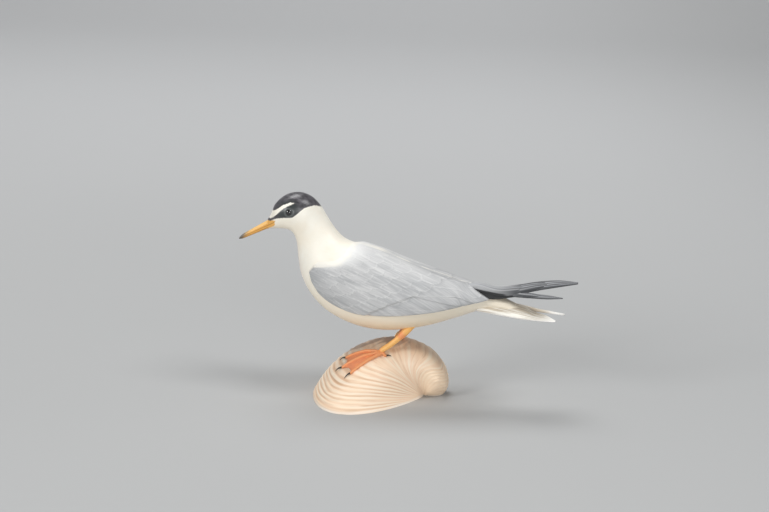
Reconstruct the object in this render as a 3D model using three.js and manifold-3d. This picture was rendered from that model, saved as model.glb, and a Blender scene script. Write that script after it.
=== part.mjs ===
// A carved and painted tern standing on a carved clam shell.
// Millimetres, +Z up. The bird looks along -X, its left side faces -Y.
// The origin lies on the shell's flat underside, below the legs.
import * as THREE from 'three';
import { mergeVertices } from 'three/addons/utils/BufferGeometryUtils.js';
import Module from 'manifold-3d';

const { inverseLerp } = THREE.MathUtils;
const wasm = await Module();
wasm.setup();

const GAP = 0.3;
// The two halves of a wing or tail pair run this far past the middle to join.
const OVERLAP = 0.05;
const SAME_POINT = 1e-4;

// Body, from the root of the bill to the tail. Each rib is a closed cross-section.
// It is given by its upper and lower point in side view, its half width and its fullness.
// [upper x, upper z, lower x, lower z, half width, fullness]
const BODY_RIBS = [
  [-76.5, 118.0, -76.3, 111.8, 2.6, 2.0],
  [-74.2, 121.8, -73.0, 112.2, 6.0, 2.0],
  [-71.2, 128.6, -68.6, 112.2, 9.4, 2.1],
  [-64.2, 134.4, -64.6, 112.0, 11.4, 2.2],
  [-55.7, 136.3, -61.0, 110.6, 12.0, 2.2],
  [-47.5, 133.6, -58.6, 107.2, 11.8, 2.2],
  [-41.6, 127.8, -57.2, 102.2, 11.2, 2.1],
  [-37.0, 120.4, -56.6, 96.2, 11.4, 2.1],
  [-32.0, 112.8, -55.8, 89.5, 13.2, 2.1],
  [-24.8, 105.6, -53.4, 80.4, 17.4, 2.2],
  [-13.5, 102.0, -46.0, 67.6, 21.8, 2.2],
  [0.0, 98.6, -34.0, 56.8, 24.0, 2.2],
  [15.0, 93.4, -15.0, 48.9, 24.2, 2.2],
  [32.0, 87.4, 6.0, 46.8, 22.6, 2.1],
  [48.0, 82.6, 30.0, 50.7, 18.4, 2.0],
  [61.0, 80.2, 52.0, 58.0, 12.6, 2.0],
  [75.0, 76.4, 68.0, 63.8, 8.6, 2.0],
  [88.0, 70.2, 84.0, 65.0, 6.6, 2.0],
  [100.0, 66.4, 99.4, 65.4, 2.4, 2.0],
];
const BODY_STEPS_PER_RIB = 2;
const BODY_SIDES = 20;

// The head and upper neck turn a little to the bird's left.
const HEAD_TURN_DEG = 12;
const HEAD_PIVOT_X = -48;
const TURN_FULL_AT_RIB = 5;
const TURN_NONE_AT_RIB = 9;

// Bill: [x, upper z, lower z, half width], before the head's turn.
const BILL_RIBS = [
  [-71.0, 119.0, 112.0, 3.0],
  [-76.4, 117.4, 111.6, 2.6],
  [-83.0, 113.7, 109.0, 2.0],
  [-89.6, 109.9, 106.2, 1.5],
  [-93.4, 107.6, 104.7, 0.9],
  [-95.8, 105.2, 104.4, 0.25],
];
const BILL_LEAST_HALF_WIDTH = 0.2;
const BILL_STEPS_PER_RIB = 2;
const BILL_SIDES = 10;

// Folded wing: same layout as the body's ribs, one wing covers one side of each rib.
const WING_RIBS = [
  [-24.8, 106.0, -53.8, 80.2, 18.6, 2.2],
  [-13.5, 103.6, -46.5, 67.0, 23.3, 2.2],
  [0.0, 100.2, -34.0, 56.0, 25.6, 2.2],
  [14.0, 95.2, -15.0, 48.3, 26.0, 2.2],
  [28.0, 90.8, 6.0, 46.2, 25.3, 2.15],
  [42.0, 86.5, 28.0, 49.0, 22.8, 2.1],
  [53.5, 83.4, 48.0, 56.5, 19.0, 2.0],
  [57.5, 82.3, 65.0, 62.0, 14.6, 1.9],
  [60.5, 81.6, 85.0, 68.2, 10.8, 1.8],
];
const WING_STEPS_PER_RIB = 2;
const WING_ACROSS = 10;
const WING_THICKNESS = 3.6;
const WING_TIP_THICKNESS = 2.6;
const WING_THINNING_START = 0.55;
// Lower edge of the folded wing in side view, from above the wrist to the tertial tips: [x, z].
const WING_EDGE = [
  [-47.5, 91.5],
  [-44.4, 85.5],
  [-41.8, 79.2],
  [-34.5, 71.2],
  [-25.4, 65.8],
  [-14.9, 62.7],
  [-2.6, 61.3],
  [15.4, 61.9],
  [38.7, 64.9],
  [53.6, 68.1],
  [68.5, 71.6],
  [77.5, 74.6],
];
const EDGE_STEPS_PER_POINT = 4;
// Front edge of the wing, where it sinks into the shoulder, from the wrist to the back: [x, z].
const WING_FRONT = [
  [-38.5, 75.0],
  [-42.6, 80.5],
  [-44.4, 86.8],
  [-41.0, 90.3],
  [-33.9, 91.2],
  [-25.6, 92.6],
  [-19.6, 95.8],
  [-16.8, 99.5],
  [-14.5, 106.0],
];
const WING_SINK = 0.13;
const WRIST_BLEND = 1.6;
const MANTLE_BLEND = 6.0;
const MANTLE_LOW_Z = 91;
// Rear edge of the coverts and lower edge of the tertials, each a small carved step: [x, z].
const COVERT_EDGE = [
  [-8.0, 59.5],
  [0.5, 64.4],
  [12.5, 70.0],
  [26.8, 75.7],
  [42.2, 83.3],
  [50.0, 88.0],
];
const TERTIAL_EDGE = [
  [20.0, 77.6],
  [26.9, 75.9],
  [37.8, 73.6],
  [51.7, 70.5],
  [62.0, 69.0],
];
const COVERT_STEP = 0.7;
const TERTIAL_STEP = 0.5;
const STEP_BLEND = 1.0;
// The groove down the back between the folded wings: its depth, its reach in x and in angle.
const SEAM_DEPTH = 1.0;
const SEAM_START_X = -8;
const SEAM_FULL_X = 30;
const SEAM_ANGLE = 0.35;

// Primaries: the left wing's cross over the tail to the far side, the right wing's pass below them.
// [x, y, z, half width, thickness, roll in degrees]
const UPPER_TIP = [
  [54.0, -2.4, 77.0, 3.8, 4.0, 8],
  [66.0, -2.6, 78.9, 5.0, 5.2, 14],
  [79.0, -2.6, 77.7, 5.0, 3.4, 26],
  [91.0, 0.4, 78.5, 4.8, 2.4, 30],
  [105.0, 4.6, 80.9, 4.1, 1.5, 33],
  [118.0, 7.6, 82.4, 3.0, 1.2, 34],
  [130.0, 9.6, 83.0, 0.8, 0.6, 34],
];
const LOWER_TIP = [
  [54.0, 4.0, 74.6, 4.0, 4.0, -24],
  [66.0, 4.2, 75.2, 4.4, 3.8, -22],
  [79.0, 3.0, 75.4, 4.5, 3.4, -14],
  [91.0, -0.8, 75.5, 4.0, 2.4, 0],
  [104.0, -4.9, 76.4, 3.2, 1.5, 10],
  [114.0, -7.4, 76.9, 2.3, 1.1, 14],
  [123.2, -9.4, 77.4, 0.5, 0.6, 14],
];
// The left wing's outermost primary, which shows as a wedge below the tertials.
const OUTER_PRIMARY = [
  [58.0, -6.0, 77.4, 3.0, 2.6, 50],
  [70.0, -6.6, 76.4, 3.4, 2.4, 50],
  [80.0, -5.2, 75.6, 3.0, 2.0, 42],
  [89.0, -3.0, 75.5, 2.0, 1.6, 20],
  [97.0, -2.2, 75.8, 0.9, 1.0, 0],
];
const TIP_STEPS_PER_RIB = 2;
// A shorter feather narrows over this share of its length and keeps this much at its end.
const TIP_TAPER = 0.35;
const TIP_LEFT = 0.03;
// Shorter feathers stacked on each tip: how far along they start and end, their lift and width share.
const SHORT_PRIMARIES = [
  { start: 1.0, end: 5.0, lift: 0.6, share: 0.84 },
  { start: 0.5, end: 4.0, lift: 1.1, share: 0.7 },
];
// A feather's cross-section, in half widths across and thicknesses up.
const PRIMARY_SECTION = [
  [-1.0, 0.0],
  [-0.55, 0.5],
  [0.1, 0.5],
  [1.0, 0.0],
  [0.3, -0.5],
  [-0.4, -0.5],
];

// Tail: [x, inner y, outer y, ridge z, outer z, thickness], one half, forked behind the notch.
const TAIL_RIBS = [
  [60.0, 0.0, 6.0, 69.5, 65.6, 4.0],
  [72.0, 0.0, 8.8, 69.2, 65.0, 3.6],
  [86.0, 0.0, 11.0, 68.5, 63.7, 2.8],
  [98.0, 0.0, 12.4, 66.7, 62.8, 2.1],
  [105.0, 2.8, 12.2, 65.0, 62.3, 1.6],
  [112.5, 4.6, 11.4, 64.1, 61.8, 1.3],
  [120.0, 8.4, 10.1, 62.2, 61.4, 0.8],
];
const TAIL_SKEW = 0.16;
const TAIL_STEPS_PER_RIB = 2;
const TAIL_FEATHERS = 4;
const TAIL_STEP = 0.35;
const TAIL_ARCH = 1.3;
const TAIL_EDGE_THINNING = 0.6;

// Glass eyes.
const EYE_RADIUS = 2.9;
const EYE_PLACE = { x: -61.5, z: 125.0, y: 9.6 };
const EYE_SEGMENTS = 12;

// Shell base: each growth line is the margin turned about the hinge end and shrunk as it turns.
const SHELL_HINGE = new THREE.Vector2(28.1, 5.65);
const SHELL_TURN_DEG = 14.7;
const SHELL_LENGTH = 74.3;
const SHELL_NEAR_WIDTH = 41.5;
const SHELL_FAR_WIDTH = 33.6;
const SHELL_SHRINK = 0.51;
const SHELL_LENGTH_POWER = 1.07;
const SHELL_NEAR_POWER = 0.84;
const SHELL_NEAR_NARROWING = 0.24;
const SHELL_LEAN = 0.094;
const SHELL_LEAN_GROWTH = 0.257;
const SHELL_FLARE = 0.117;
const SHELL_FLARE_REACH = 0.35;
// The near side is drawn in between the shell's body and the lobe of its beak, which is fuller.
// Each swell: its share of the width, the turn at its middle and its reach in turn.
const SHELL_SWELLS = [
  { share: -0.08, turn: 1.0, reach: 0.3 },
  { share: 1.0, turn: 2.45, reach: 0.75 },
];
// The beak's rim on the ground is rounded in from this turn on.
const SHELL_ROUND_START = 2.65;
const SHELL_ROUND = 0.12;
const SHELL_RIDGES = 24;
const SHELL_RIDGE_DEPTH = 0.75;
const SHELL_CREST_PLACE = 0.62;
// Away from the hinge low growth lines bend towards the margin and high ones towards the beak.
// The bend changes over these spans of lines: [from, to, change], all in ridges.
const SHELL_BENDS = [
  [0, 6.5, -2.6],
  [10.6, 14, 8],
  [14, 24, -5.4],
];
const BEND_POWER = 1.4;
// Angles round a growth line between which its bend grows and fades again.
const BEND_START = 0.12;
const BEND_FULL = 2.5;
const BEND_FADE = 3.8;
const BEND_END = 6.0;
const SHELL_COLUMNS = 28;
const SMOOTH_ROWS = 48;

// Legs: [x, y, z, half width, half depth], from inside the belly to the ankle.
// Toes: the point where each ends on the shell and its claw's tip: [x, y].
const LEGS = {
  left: {
    shank: [
      [25.0, -8.3, 55.0, 2.9, 2.7],
      [19.5, -8.9, 48.4, 2.6, 2.4],
      [16.5, -9.3, 45.2, 2.7, 2.3],
      [13.9, -9.8, 42.7, 2.1, 1.9],
      [8.8, -10.9, 38.5, 1.9, 1.8],
      [4.2, -12.0, 35.4, 2.2, 1.7],
      [2.4, -12.3, 34.4, 1.4, 1.2],
    ],
    ankle: [3.9, -12.1],
    toes: [
      { end: [-14.4, -26.2], claw: [-18.0, -27.9] },
      { end: [-22.1, -18.6], claw: [-27.2, -16.8] },
      { end: [-22.0, -9.1], claw: [-27.4, -4.5] },
    ],
    hind: { end: [6.4, -13.0], claw: [9.8, -11.1] },
  },
  right: {
    shank: [
      [22.0, 6.5, 52.0, 2.9, 2.7],
      [15.8, 8.7, 45.0, 2.5, 2.3],
      [12.9, 11.4, 42.2, 2.5, 2.2],
      [10.5, 14.6, 40.2, 2.0, 1.9],
      [7.4, 19.6, 37.2, 1.8, 1.7],
      [5.2, 24.2, 33.9, 2.0, 1.6],
      [4.2, 25.4, 32.6, 1.3, 1.1],
    ],
    ankle: [4.6, 24.8],
    toes: [
      { end: [-12.6, 26.6], claw: [-16.4, 26.4] },
      { end: [-15.8, 24.9], claw: [-20.2, 24.2] },
      { end: [-14.2, 23.4], claw: [-18.0, 22.6] },
    ],
    hind: { end: [7.0, 25.2], claw: [10.2, 25.4] },
  },
};
const LEG_SIDES = 6;
const TOE_RADIUS = 1.25;
const TOE_TIP_RADIUS = 0.85;
const CLAW_RADIUS = 0.62;
const TOE_STEPS = 4;
const CLAW_STEPS = 3;
const CLAW_TIP_RADIUS = 0.12;
// Webs: where they start and end along the toes, their thickness and how far the edge is drawn in.
const WEB_START = 0.16;
const WEB_END = 0.96;
const WEB_ACROSS = 4;
const WEB_THICKNESS = 1.0;
const WEB_SCALLOP = 0.06;
// The soles are made this far into the shell and then cut to it.
const FOOT_SINK = 0.35;

// Values between the rows of a table, along a smooth curve through them.
function rowAt(rows, t) {
  const i = Math.max(0, Math.min(Math.floor(t), rows.length - 2));
  const f = t - i;
  const a = rows[Math.max(i - 1, 0)];
  const b = rows[i];
  const c = rows[i + 1];
  const d = rows[Math.min(i + 2, rows.length - 1)];
  return b.map((value, k) => value
    + 0.5 * f * (c[k] - a[k]
    + f * (2 * a[k] - 5 * value + 4 * c[k] - d[k]
    + f * (3 * (value - c[k]) + d[k] - a[k]))));
}

function samples(rows, stepsPerRow) {
  const count = (rows.length - 1) * stepsPerRow;
  return Array.from({ length: count + 1 }, (_, i) => i / stepsPerRow);
}

function smooth(low, high, value) {
  const t = THREE.MathUtils.clamp((value - low) / (high - low), 0, 1);
  return t * t * (3 - 2 * t);
}

function signedPower(value, power) {
  return Math.sign(value) * Math.abs(value) ** power;
}

// Distance from a side-view point to a line of points, positive on the line's right.
function sideOf(line, x, z) {
  let best = Infinity;
  let sign = 1;
  for (let i = 0; i + 1 < line.length; i += 1) {
    const [ax, az] = line[i];
    const [bx, bz] = line[i + 1];
    const dx = bx - ax;
    const dz = bz - az;
    const t = THREE.MathUtils.clamp(((x - ax) * dx + (z - az) * dz) / (dx * dx + dz * dz), 0, 1);
    const ex = x - ax - t * dx;
    const ez = z - az - t * dz;
    const distance = Math.hypot(ex, ez);
    if (distance < best) {
      best = distance;
      sign = Math.sign(dz * (x - ax) - dx * (z - az)) || 1;
    }
  }
  return best * sign;
}

function indexed(points, faces) {
  const geometry = new THREE.BufferGeometry();
  geometry.setAttribute('position', new THREE.Float32BufferAttribute(points.flat(), 3));
  geometry.setIndex(faces.flat());
  return outward(geometry);
}

// Turns a closed geometry's faces outwards if its volume comes out negative.
function outward(geometry) {
  const position = geometry.getAttribute('position');
  const index = geometry.getIndex().array;
  const [a, b, c] = [new THREE.Vector3(), new THREE.Vector3(), new THREE.Vector3()];
  let volume = 0;
  for (let i = 0; i < index.length; i += 3) {
    a.fromBufferAttribute(position, index[i]);
    b.fromBufferAttribute(position, index[i + 1]);
    c.fromBufferAttribute(position, index[i + 2]);
    volume += a.dot(b.cross(c));
  }
  if (volume < 0) {
    for (let i = 0; i < index.length; i += 3) {
      [index[i], index[i + 1]] = [index[i + 1], index[i]];
    }
  }
  return geometry;
}

// A closed skin over rings of equal length. An end is closed by a fan to its middle,
// or for a thin ring by strips between its two long sides.
function loft(rings, thin = false) {
  const sides = rings[0].length;
  const points = rings.flat();
  const faces = [];
  for (let i = 0; i + 1 < rings.length; i += 1) {
    for (let j = 0; j < sides; j += 1) {
      const k = (j + 1) % sides;
      const a = i * sides + j;
      const b = i * sides + k;
      faces.push([a, a + sides, b], [b, a + sides, b + sides]);
    }
  }
  for (const [ring, flip] of [[0, false], [rings.length - 1, true]]) {
    const base = ring * sides;
    const caps = [];
    if (thin) {
      for (let j = 0; j + 1 < sides / 2; j += 1) {
        const p = base + j;
        const q = base + sides - 1 - j;
        caps.push([p, p + 1, q], [p + 1, q - 1, q]);
      }
    } else {
      const middle = [0, 1, 2].map((n) => rings[ring].reduce((sum, p) => sum + p[n], 0) / sides);
      const centre = points.push(middle) - 1;
      for (let j = 0; j < sides; j += 1) {
        caps.push([base + j, base + (j + 1) % sides, centre]);
      }
    }
    faces.push(...caps.map((face) => (flip ? [face[1], face[0], face[2]] : face)));
  }
  return indexed(points, faces);
}

function solidOf(geometry) {
  const bare = geometry.clone();
  bare.deleteAttribute('normal');
  bare.deleteAttribute('uv');
  const merged = mergeVertices(bare, SAME_POINT);
  return new wasm.Manifold(new wasm.Mesh({
    numProp: 3,
    vertProperties: new Float32Array(merged.getAttribute('position').array),
    triVerts: new Uint32Array(merged.getIndex().array),
  }));
}

function geometryOf(solid) {
  const mesh = solid.getMesh();
  const geometry = new THREE.BufferGeometry();
  geometry.setAttribute('position', new THREE.Float32BufferAttribute(mesh.vertProperties, 3));
  geometry.setIndex(new THREE.Uint32BufferAttribute(mesh.triVerts, 1));
  geometry.computeVertexNormals();
  return geometry;
}

function joined(geometries) {
  return geometries.map(solidOf).reduce((whole, solid) => whole.add(solid));
}

// A copy of a geometry with its surface moved outwards.
function grown(geometry, distance) {
  const copy = geometry.clone();
  copy.computeVertexNormals();
  const position = copy.getAttribute('position');
  const normal = copy.getAttribute('normal');
  for (let i = 0; i < position.count; i += 1) {
    position.setXYZ(
      i,
      position.getX(i) + distance * normal.getX(i),
      position.getY(i) + distance * normal.getY(i),
      position.getZ(i) + distance * normal.getZ(i),
    );
  }
  return copy;
}

// A point of a rib: the angle runs from its upper point round one side to its lower point.
function ribPoint(rib, angle, scale = 1) {
  const [topX, topZ, lowX, lowZ, halfWidth, fullness] = rib;
  const along = 0.5 * scale * signedPower(Math.cos(angle), 2 / fullness);
  const across = halfWidth * scale * signedPower(Math.sin(angle), 2 / fullness);
  return [
    (topX + lowX) / 2 + along * (topX - lowX),
    across,
    (topZ + lowZ) / 2 + along * (topZ - lowZ),
  ];
}

function turned([x, y, z], degrees) {
  const angle = THREE.MathUtils.degToRad(degrees);
  const dx = x - HEAD_PIVOT_X;
  return [
    HEAD_PIVOT_X + dx * Math.cos(angle) - y * Math.sin(angle),
    dx * Math.sin(angle) + y * Math.cos(angle),
    z,
  ];
}

function makeBody() {
  const rings = samples(BODY_RIBS, BODY_STEPS_PER_RIB).map((t) => {
    const rib = rowAt(BODY_RIBS, t);
    const turn = HEAD_TURN_DEG * (1 - smooth(TURN_FULL_AT_RIB, TURN_NONE_AT_RIB, t));
    return Array.from({ length: BODY_SIDES }, (_, j) => (
      turned(ribPoint(rib, (2 * Math.PI * j) / BODY_SIDES), turn)
    ));
  });
  return loft(rings);
}

function makeBill() {
  const rings = samples(BILL_RIBS, BILL_STEPS_PER_RIB).map((t) => {
    const [x, top, low, halfWidth] = rowAt(BILL_RIBS, t);
    const rib = [x, top, x, low, Math.max(halfWidth, BILL_LEAST_HALF_WIDTH), 2];
    return Array.from({ length: BILL_SIDES }, (_, j) => (
      turned(ribPoint(rib, (2 * Math.PI * j) / BILL_SIDES), HEAD_TURN_DEG)
    ));
  });
  return loft(rings);
}

// The angle at which a rib of the wing meets the wing's lower edge.
function edgeAngle(rib) {
  const [topX, topZ, lowX, lowZ, , fullness] = rib;
  const edge = samples(WING_EDGE, EDGE_STEPS_PER_POINT).map((t) => rowAt(WING_EDGE, t));
  for (let i = 0; i + 1 < edge.length; i += 1) {
    const [ax, az] = edge[i];
    const [bx, bz] = edge[i + 1];
    const det = (lowX - topX) * (az - bz) - (lowZ - topZ) * (ax - bx);
    const share = ((ax - topX) * (az - bz) - (az - topZ) * (ax - bx)) / det;
    const along = ((lowX - topX) * (az - topZ) - (lowZ - topZ) * (ax - topX)) / det;
    if (along >= 0 && along <= 1 && share > 0 && share < 1) {
      return Math.acos(signedPower(1 - 2 * share, fullness / 2));
    }
  }
  return Math.PI / 2;
}

// Height of the carved feather groups above the wing's lowest layer.
function featherRelief(x, z) {
  const overCoverts = smooth(-STEP_BLEND, STEP_BLEND, -sideOf(COVERT_EDGE, x, z));
  const overTertials = smooth(-STEP_BLEND, STEP_BLEND, -sideOf(TERTIAL_EDGE, x, z));
  return Math.max(COVERT_STEP * overCoverts, TERTIAL_STEP * overTertials);
}

function wingPoint(rib, angle, depth) {
  const [x, , z] = ribPoint(rib, angle);
  const inside = sideOf(WING_FRONT, x, z);
  const blend = z > MANTLE_LOW_Z ? MANTLE_BLEND : WRIST_BLEND;
  const sink = WING_SINK * (1 - smooth(-blend, blend / 2, inside));
  const seam = SEAM_DEPTH * smooth(SEAM_START_X, SEAM_FULL_X, x) * smooth(SEAM_ANGLE, 0, angle);
  const rise = featherRelief(x, z) - seam - depth;
  const radius = Math.hypot(rib[0] - rib[2], rib[1] - rib[3]) / 2;
  return ribPoint(rib, angle, 1 - sink + rise / radius);
}

function makeWing(side) {
  const rings = samples(WING_RIBS, WING_STEPS_PER_RIB).map((t) => {
    const rib = rowAt(WING_RIBS, t);
    const last = edgeAngle(rib);
    const share = t / (WING_RIBS.length - 1);
    const thinning = smooth(WING_THINNING_START, 1, share);
    const thickness = THREE.MathUtils.lerp(WING_THICKNESS, WING_TIP_THICKNESS, thinning);
    const angles = Array.from({ length: WING_ACROSS + 1 }, (_, j) => (last * j) / WING_ACROSS);
    const outer = angles.map((angle) => wingPoint(rib, angle, 0));
    const inner = angles.map((angle) => wingPoint(rib, angle, thickness));
    return [...outer, ...inner.reverse()].map(([x, y, z]) => [x, side * (y - OVERLAP), z]);
  });
  return loft(rings, true);
}

// One long feather: a thin section carried along a path, leaning by the path's roll.
function makeFeather(path, from, to, lift, share) {
  const steps = Math.round((to - from) * TIP_STEPS_PER_RIB);
  const rings = Array.from({ length: steps + 1 }, (_, i) => {
    const t = from + ((to - from) * i) / steps;
    const [x, y, z, halfWidth, thickness, roll] = rowAt(path, t);
    const lean = THREE.MathUtils.degToRad(roll);
    const taper = to < path.length - 1 ? smooth(0, TIP_TAPER, 1 - i / steps + TIP_LEFT) : 1;
    return PRIMARY_SECTION.map(([across, up]) => {
      const a = across * halfWidth * share * taper;
      const b = (up * thickness + lift) * taper;
      return [
        x,
        y + a * Math.cos(lean) - b * Math.sin(lean),
        z + a * Math.sin(lean) + b * Math.cos(lean),
      ];
    });
  });
  return loft(rings);
}

function makeWingTip(path) {
  const longest = makeFeather(path, 0, path.length - 1, 0, 1);
  const shorter = SHORT_PRIMARIES.map(({ start, end, lift, share }) => (
    makeFeather(path, start, end, lift, share)
  ));
  return [longest, ...shorter];
}

function makeTailHalf(side) {
  const across = TAIL_FEATHERS * 2 - 1;
  const rings = samples(TAIL_RIBS, TAIL_STEPS_PER_RIB).map((t) => {
    const [x, inner, outer, ridge, edge, thickness] = rowAt(TAIL_RIBS, t);
    const start = Math.max(inner, 0);
    const upper = [];
    const lower = [];
    for (let j = 0; j <= across; j += 1) {
      const share = j / across;
      const y = start + (outer - start) * share;
      const z = ridge - (ridge - edge) * (y / outer) ** TAIL_ARCH;
      const back = x + TAIL_SKEW * side * y * (t / (TAIL_RIBS.length - 1));
      const rim = 1 - TAIL_EDGE_THINNING * share ** 3;
      const step = j % 2 === 1 ? TAIL_STEP : 0;
      upper.push([back, side * (y - OVERLAP), z + (thickness / 2 + step) * rim]);
      lower.push([back, side * (y - OVERLAP), z - (thickness / 2) * rim]);
    }
    return [...upper, ...lower.reverse()];
  });
  return loft(rings, true);
}

function eyeCentre(side) {
  return turned([EYE_PLACE.x, side * EYE_PLACE.y, EYE_PLACE.z], HEAD_TURN_DEG);
}

function ball(centre, radius) {
  const geometry = new THREE.SphereGeometry(radius, EYE_SEGMENTS, EYE_SEGMENTS / 2);
  geometry.rotateX(Math.PI / 2);
  geometry.translate(...centre);
  return geometry;
}

function makeBird() {
  const carved = joined([
    makeBody(),
    makeBill(),
    makeWing(-1),
    makeWing(1),
    ...makeWingTip(UPPER_TIP),
    ...makeWingTip(LOWER_TIP),
    makeFeather(OUTER_PRIMARY, 0, OUTER_PRIMARY.length - 1, 0, 1),
    makeTailHalf(-1),
    makeTailHalf(1),
  ]);
  const sockets = joined([-1, 1].map((side) => ball(eyeCentre(side), EYE_RADIUS + GAP)));
  return carved.subtract(sockets);
}

// A point of the shell: turn 0 is the margin on the ground, turn PI the tip of the beak.
// The near half of each growth line is fuller at the margin and narrower at the beak.
function shellPoint(turn, around, rise = 0) {
  const axis = THREE.MathUtils.degToRad(SHELL_TURN_DEG);
  const shrink = Math.exp(-SHELL_SHRINK * turn);
  const rounding = 1 - SHELL_ROUND * THREE.MathUtils.clamp(inverseLerp(SHELL_ROUND_START, Math.PI, turn), 0, 1) ** 2;
  const scale = (shrink + rise / SHELL_LENGTH) * rounding;
  const length = SHELL_LENGTH * Math.abs(Math.sin(around / 2)) ** SHELL_LENGTH_POWER;
  const flare = 1 + SHELL_FLARE * Math.exp(-turn / SHELL_FLARE_REACH);
  const swell = SHELL_SWELLS.reduce((sum, { share, turn: middle, reach }) => (
    sum + share * Math.exp(-(((turn - middle) / reach) ** 2))
  ), 1);
  const near = SHELL_NEAR_WIDTH * flare * swell * Math.exp(-SHELL_NEAR_NARROWING * turn);
  const spread = around < Math.PI
    ? -near * Math.abs(Math.sin(around)) ** SHELL_NEAR_POWER
    : -SHELL_FAR_WIDTH * Math.sin(around);
  const lean = (SHELL_LEAN + (SHELL_LEAN_GROWTH * turn) / Math.PI) * length;
  const along = length * scale * Math.cos(turn);
  const across = (spread + lean) * scale;
  return [
    SHELL_HINGE.x - along * Math.cos(axis) - across * Math.sin(axis),
    SHELL_HINGE.y - along * Math.sin(axis) + across * Math.cos(axis),
    length * scale * Math.sin(turn),
  ];
}

// The turn at which a growth line passes an angle round the shell.
function turnOfLine(line, around) {
  const whole = 1 - Math.exp(-SHELL_SHRINK * Math.PI);
  const bend = smooth(BEND_START, BEND_FULL, around) ** BEND_POWER * smooth(BEND_END, BEND_FADE, around);
  const shift = SHELL_BENDS.reduce((sum, [from, to, change]) => (
    sum + change * THREE.MathUtils.clamp(inverseLerp(from, to, line), 0, 1)
  ), 0);
  return -Math.log(1 - ((line + shift * bend) / SHELL_RIDGES) * whole) / SHELL_SHRINK;
}

// Rows of the shell: a valley and a crest for each growth ridge.
function shellRows() {
  const rows = [{ line: 0, rise: 0 }];
  for (let i = 0; i < SHELL_RIDGES; i += 1) {
    if (i > 0) {
      rows.push({ line: i, rise: -SHELL_RIDGE_DEPTH / 2 });
    }
    rows.push({ line: i + SHELL_CREST_PLACE, rise: SHELL_RIDGE_DEPTH / 2 });
  }
  rows.push({ line: SHELL_RIDGES, rise: 0 });
  return rows;
}

function makeShell(rows, columns) {
  return loft(rows.map(({ line, rise }) => (
    Array.from({ length: columns }, (_, j) => {
      const around = (2 * Math.PI * j) / columns;
      return shellPoint(turnOfLine(line, around), around, rise);
    })
  )));
}

// The shell without its valleys, which the feet stand on.
function makeSmoothShell() {
  const rows = Array.from({ length: SMOOTH_ROWS + 1 }, (_, i) => (
    { line: (SHELL_RIDGES * i) / SMOOTH_ROWS, rise: SHELL_RIDGE_DEPTH / 2 }
  ));
  return makeShell(rows, SHELL_COLUMNS);
}

// Height of the smooth shell above a point of the ground.
function heightFinder(geometry) {
  const mesh = new THREE.Mesh(geometry);
  const down = new THREE.Vector3(0, 0, -1);
  const ray = new THREE.Raycaster();
  return (x, y) => {
    ray.set(new THREE.Vector3(x, y, 2 * SHELL_LENGTH), down);
    const [hit] = ray.intersectObject(mesh);
    return hit ? hit.point.z : 0;
  };
}

// A tube through [x, y, z, half width, half depth] rows, its rings square to its path.
function makeTube(rows, steps, sides) {
  const places = samples(rows, steps).map((t) => rowAt(rows, t));
  const rings = places.map((row, i) => {
    const before = places[Math.max(i - 1, 0)];
    const after = places[Math.min(i + 1, places.length - 1)];
    const along = new THREE.Vector3(...[0, 1, 2].map((n) => after[n] - before[n])).normalize();
    const across = new THREE.Vector3(0, 0, 1).cross(along).normalize();
    const up = along.clone().cross(across);
    return Array.from({ length: sides }, (_, j) => {
      const angle = (2 * Math.PI * j) / sides;
      const a = Math.cos(angle) * row[3];
      const b = Math.sin(angle) * row[4];
      return [0, 1, 2].map((n) => row[n] + a * across.getComponent(n) + b * up.getComponent(n));
    });
  });
  return loft(rings);
}

function makeToe(ankle, toe, heightAt) {
  const [endX, endY] = toe.end;
  const rows = Array.from({ length: TOE_STEPS + 1 }, (_, i) => {
    const t = i / TOE_STEPS;
    const x = THREE.MathUtils.lerp(ankle[0], endX, t);
    const y = THREE.MathUtils.lerp(ankle[1], endY, t);
    const radius = THREE.MathUtils.lerp(TOE_RADIUS, TOE_TIP_RADIUS, t);
    return [x, y, heightAt(x, y) + radius - FOOT_SINK + GAP, radius, radius];
  });
  return makeTube(rows, 1, LEG_SIDES);
}

function makeClaw(toe, heightAt) {
  const [endX, endY] = toe.end;
  const [tipX, tipY] = toe.claw;
  const rows = Array.from({ length: CLAW_STEPS + 1 }, (_, i) => {
    const t = i / CLAW_STEPS;
    const x = THREE.MathUtils.lerp(endX, tipX, t);
    const y = THREE.MathUtils.lerp(endY, tipY, t);
    const radius = THREE.MathUtils.lerp(CLAW_RADIUS, CLAW_TIP_RADIUS, t);
    const arch = CLAW_RADIUS * Math.sin(Math.PI * t);
    return [x, y, heightAt(x, y) + GAP + TOE_TIP_RADIUS * (1 - t) + arch + radius * t, radius, radius];
  });
  return makeTube(rows, 1, LEG_SIDES);
}

// The skin between two toes, its front edge drawn in between them.
function makeWeb(ankle, first, second, heightAt) {
  const rings = Array.from({ length: TOE_STEPS }, (_, i) => {
    const t = THREE.MathUtils.lerp(WEB_START, WEB_END, i / (TOE_STEPS - 1));
    const upper = [];
    const lower = [];
    for (let j = 0; j <= WEB_ACROSS; j += 1) {
      const u = j / WEB_ACROSS;
      const reach = t * (1 - WEB_SCALLOP * 4 * u * (1 - u));
      const x = ankle[0] + reach * (THREE.MathUtils.lerp(first.end[0], second.end[0], u) - ankle[0]);
      const y = ankle[1] + reach * (THREE.MathUtils.lerp(first.end[1], second.end[1], u) - ankle[1]);
      const z = heightAt(x, y);
      upper.push([x, y, z + GAP + WEB_THICKNESS]);
      lower.push([x, y, z - FOOT_SINK]);
    }
    return [...upper, ...lower.reverse()];
  });
  return loft(rings, true);
}

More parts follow.
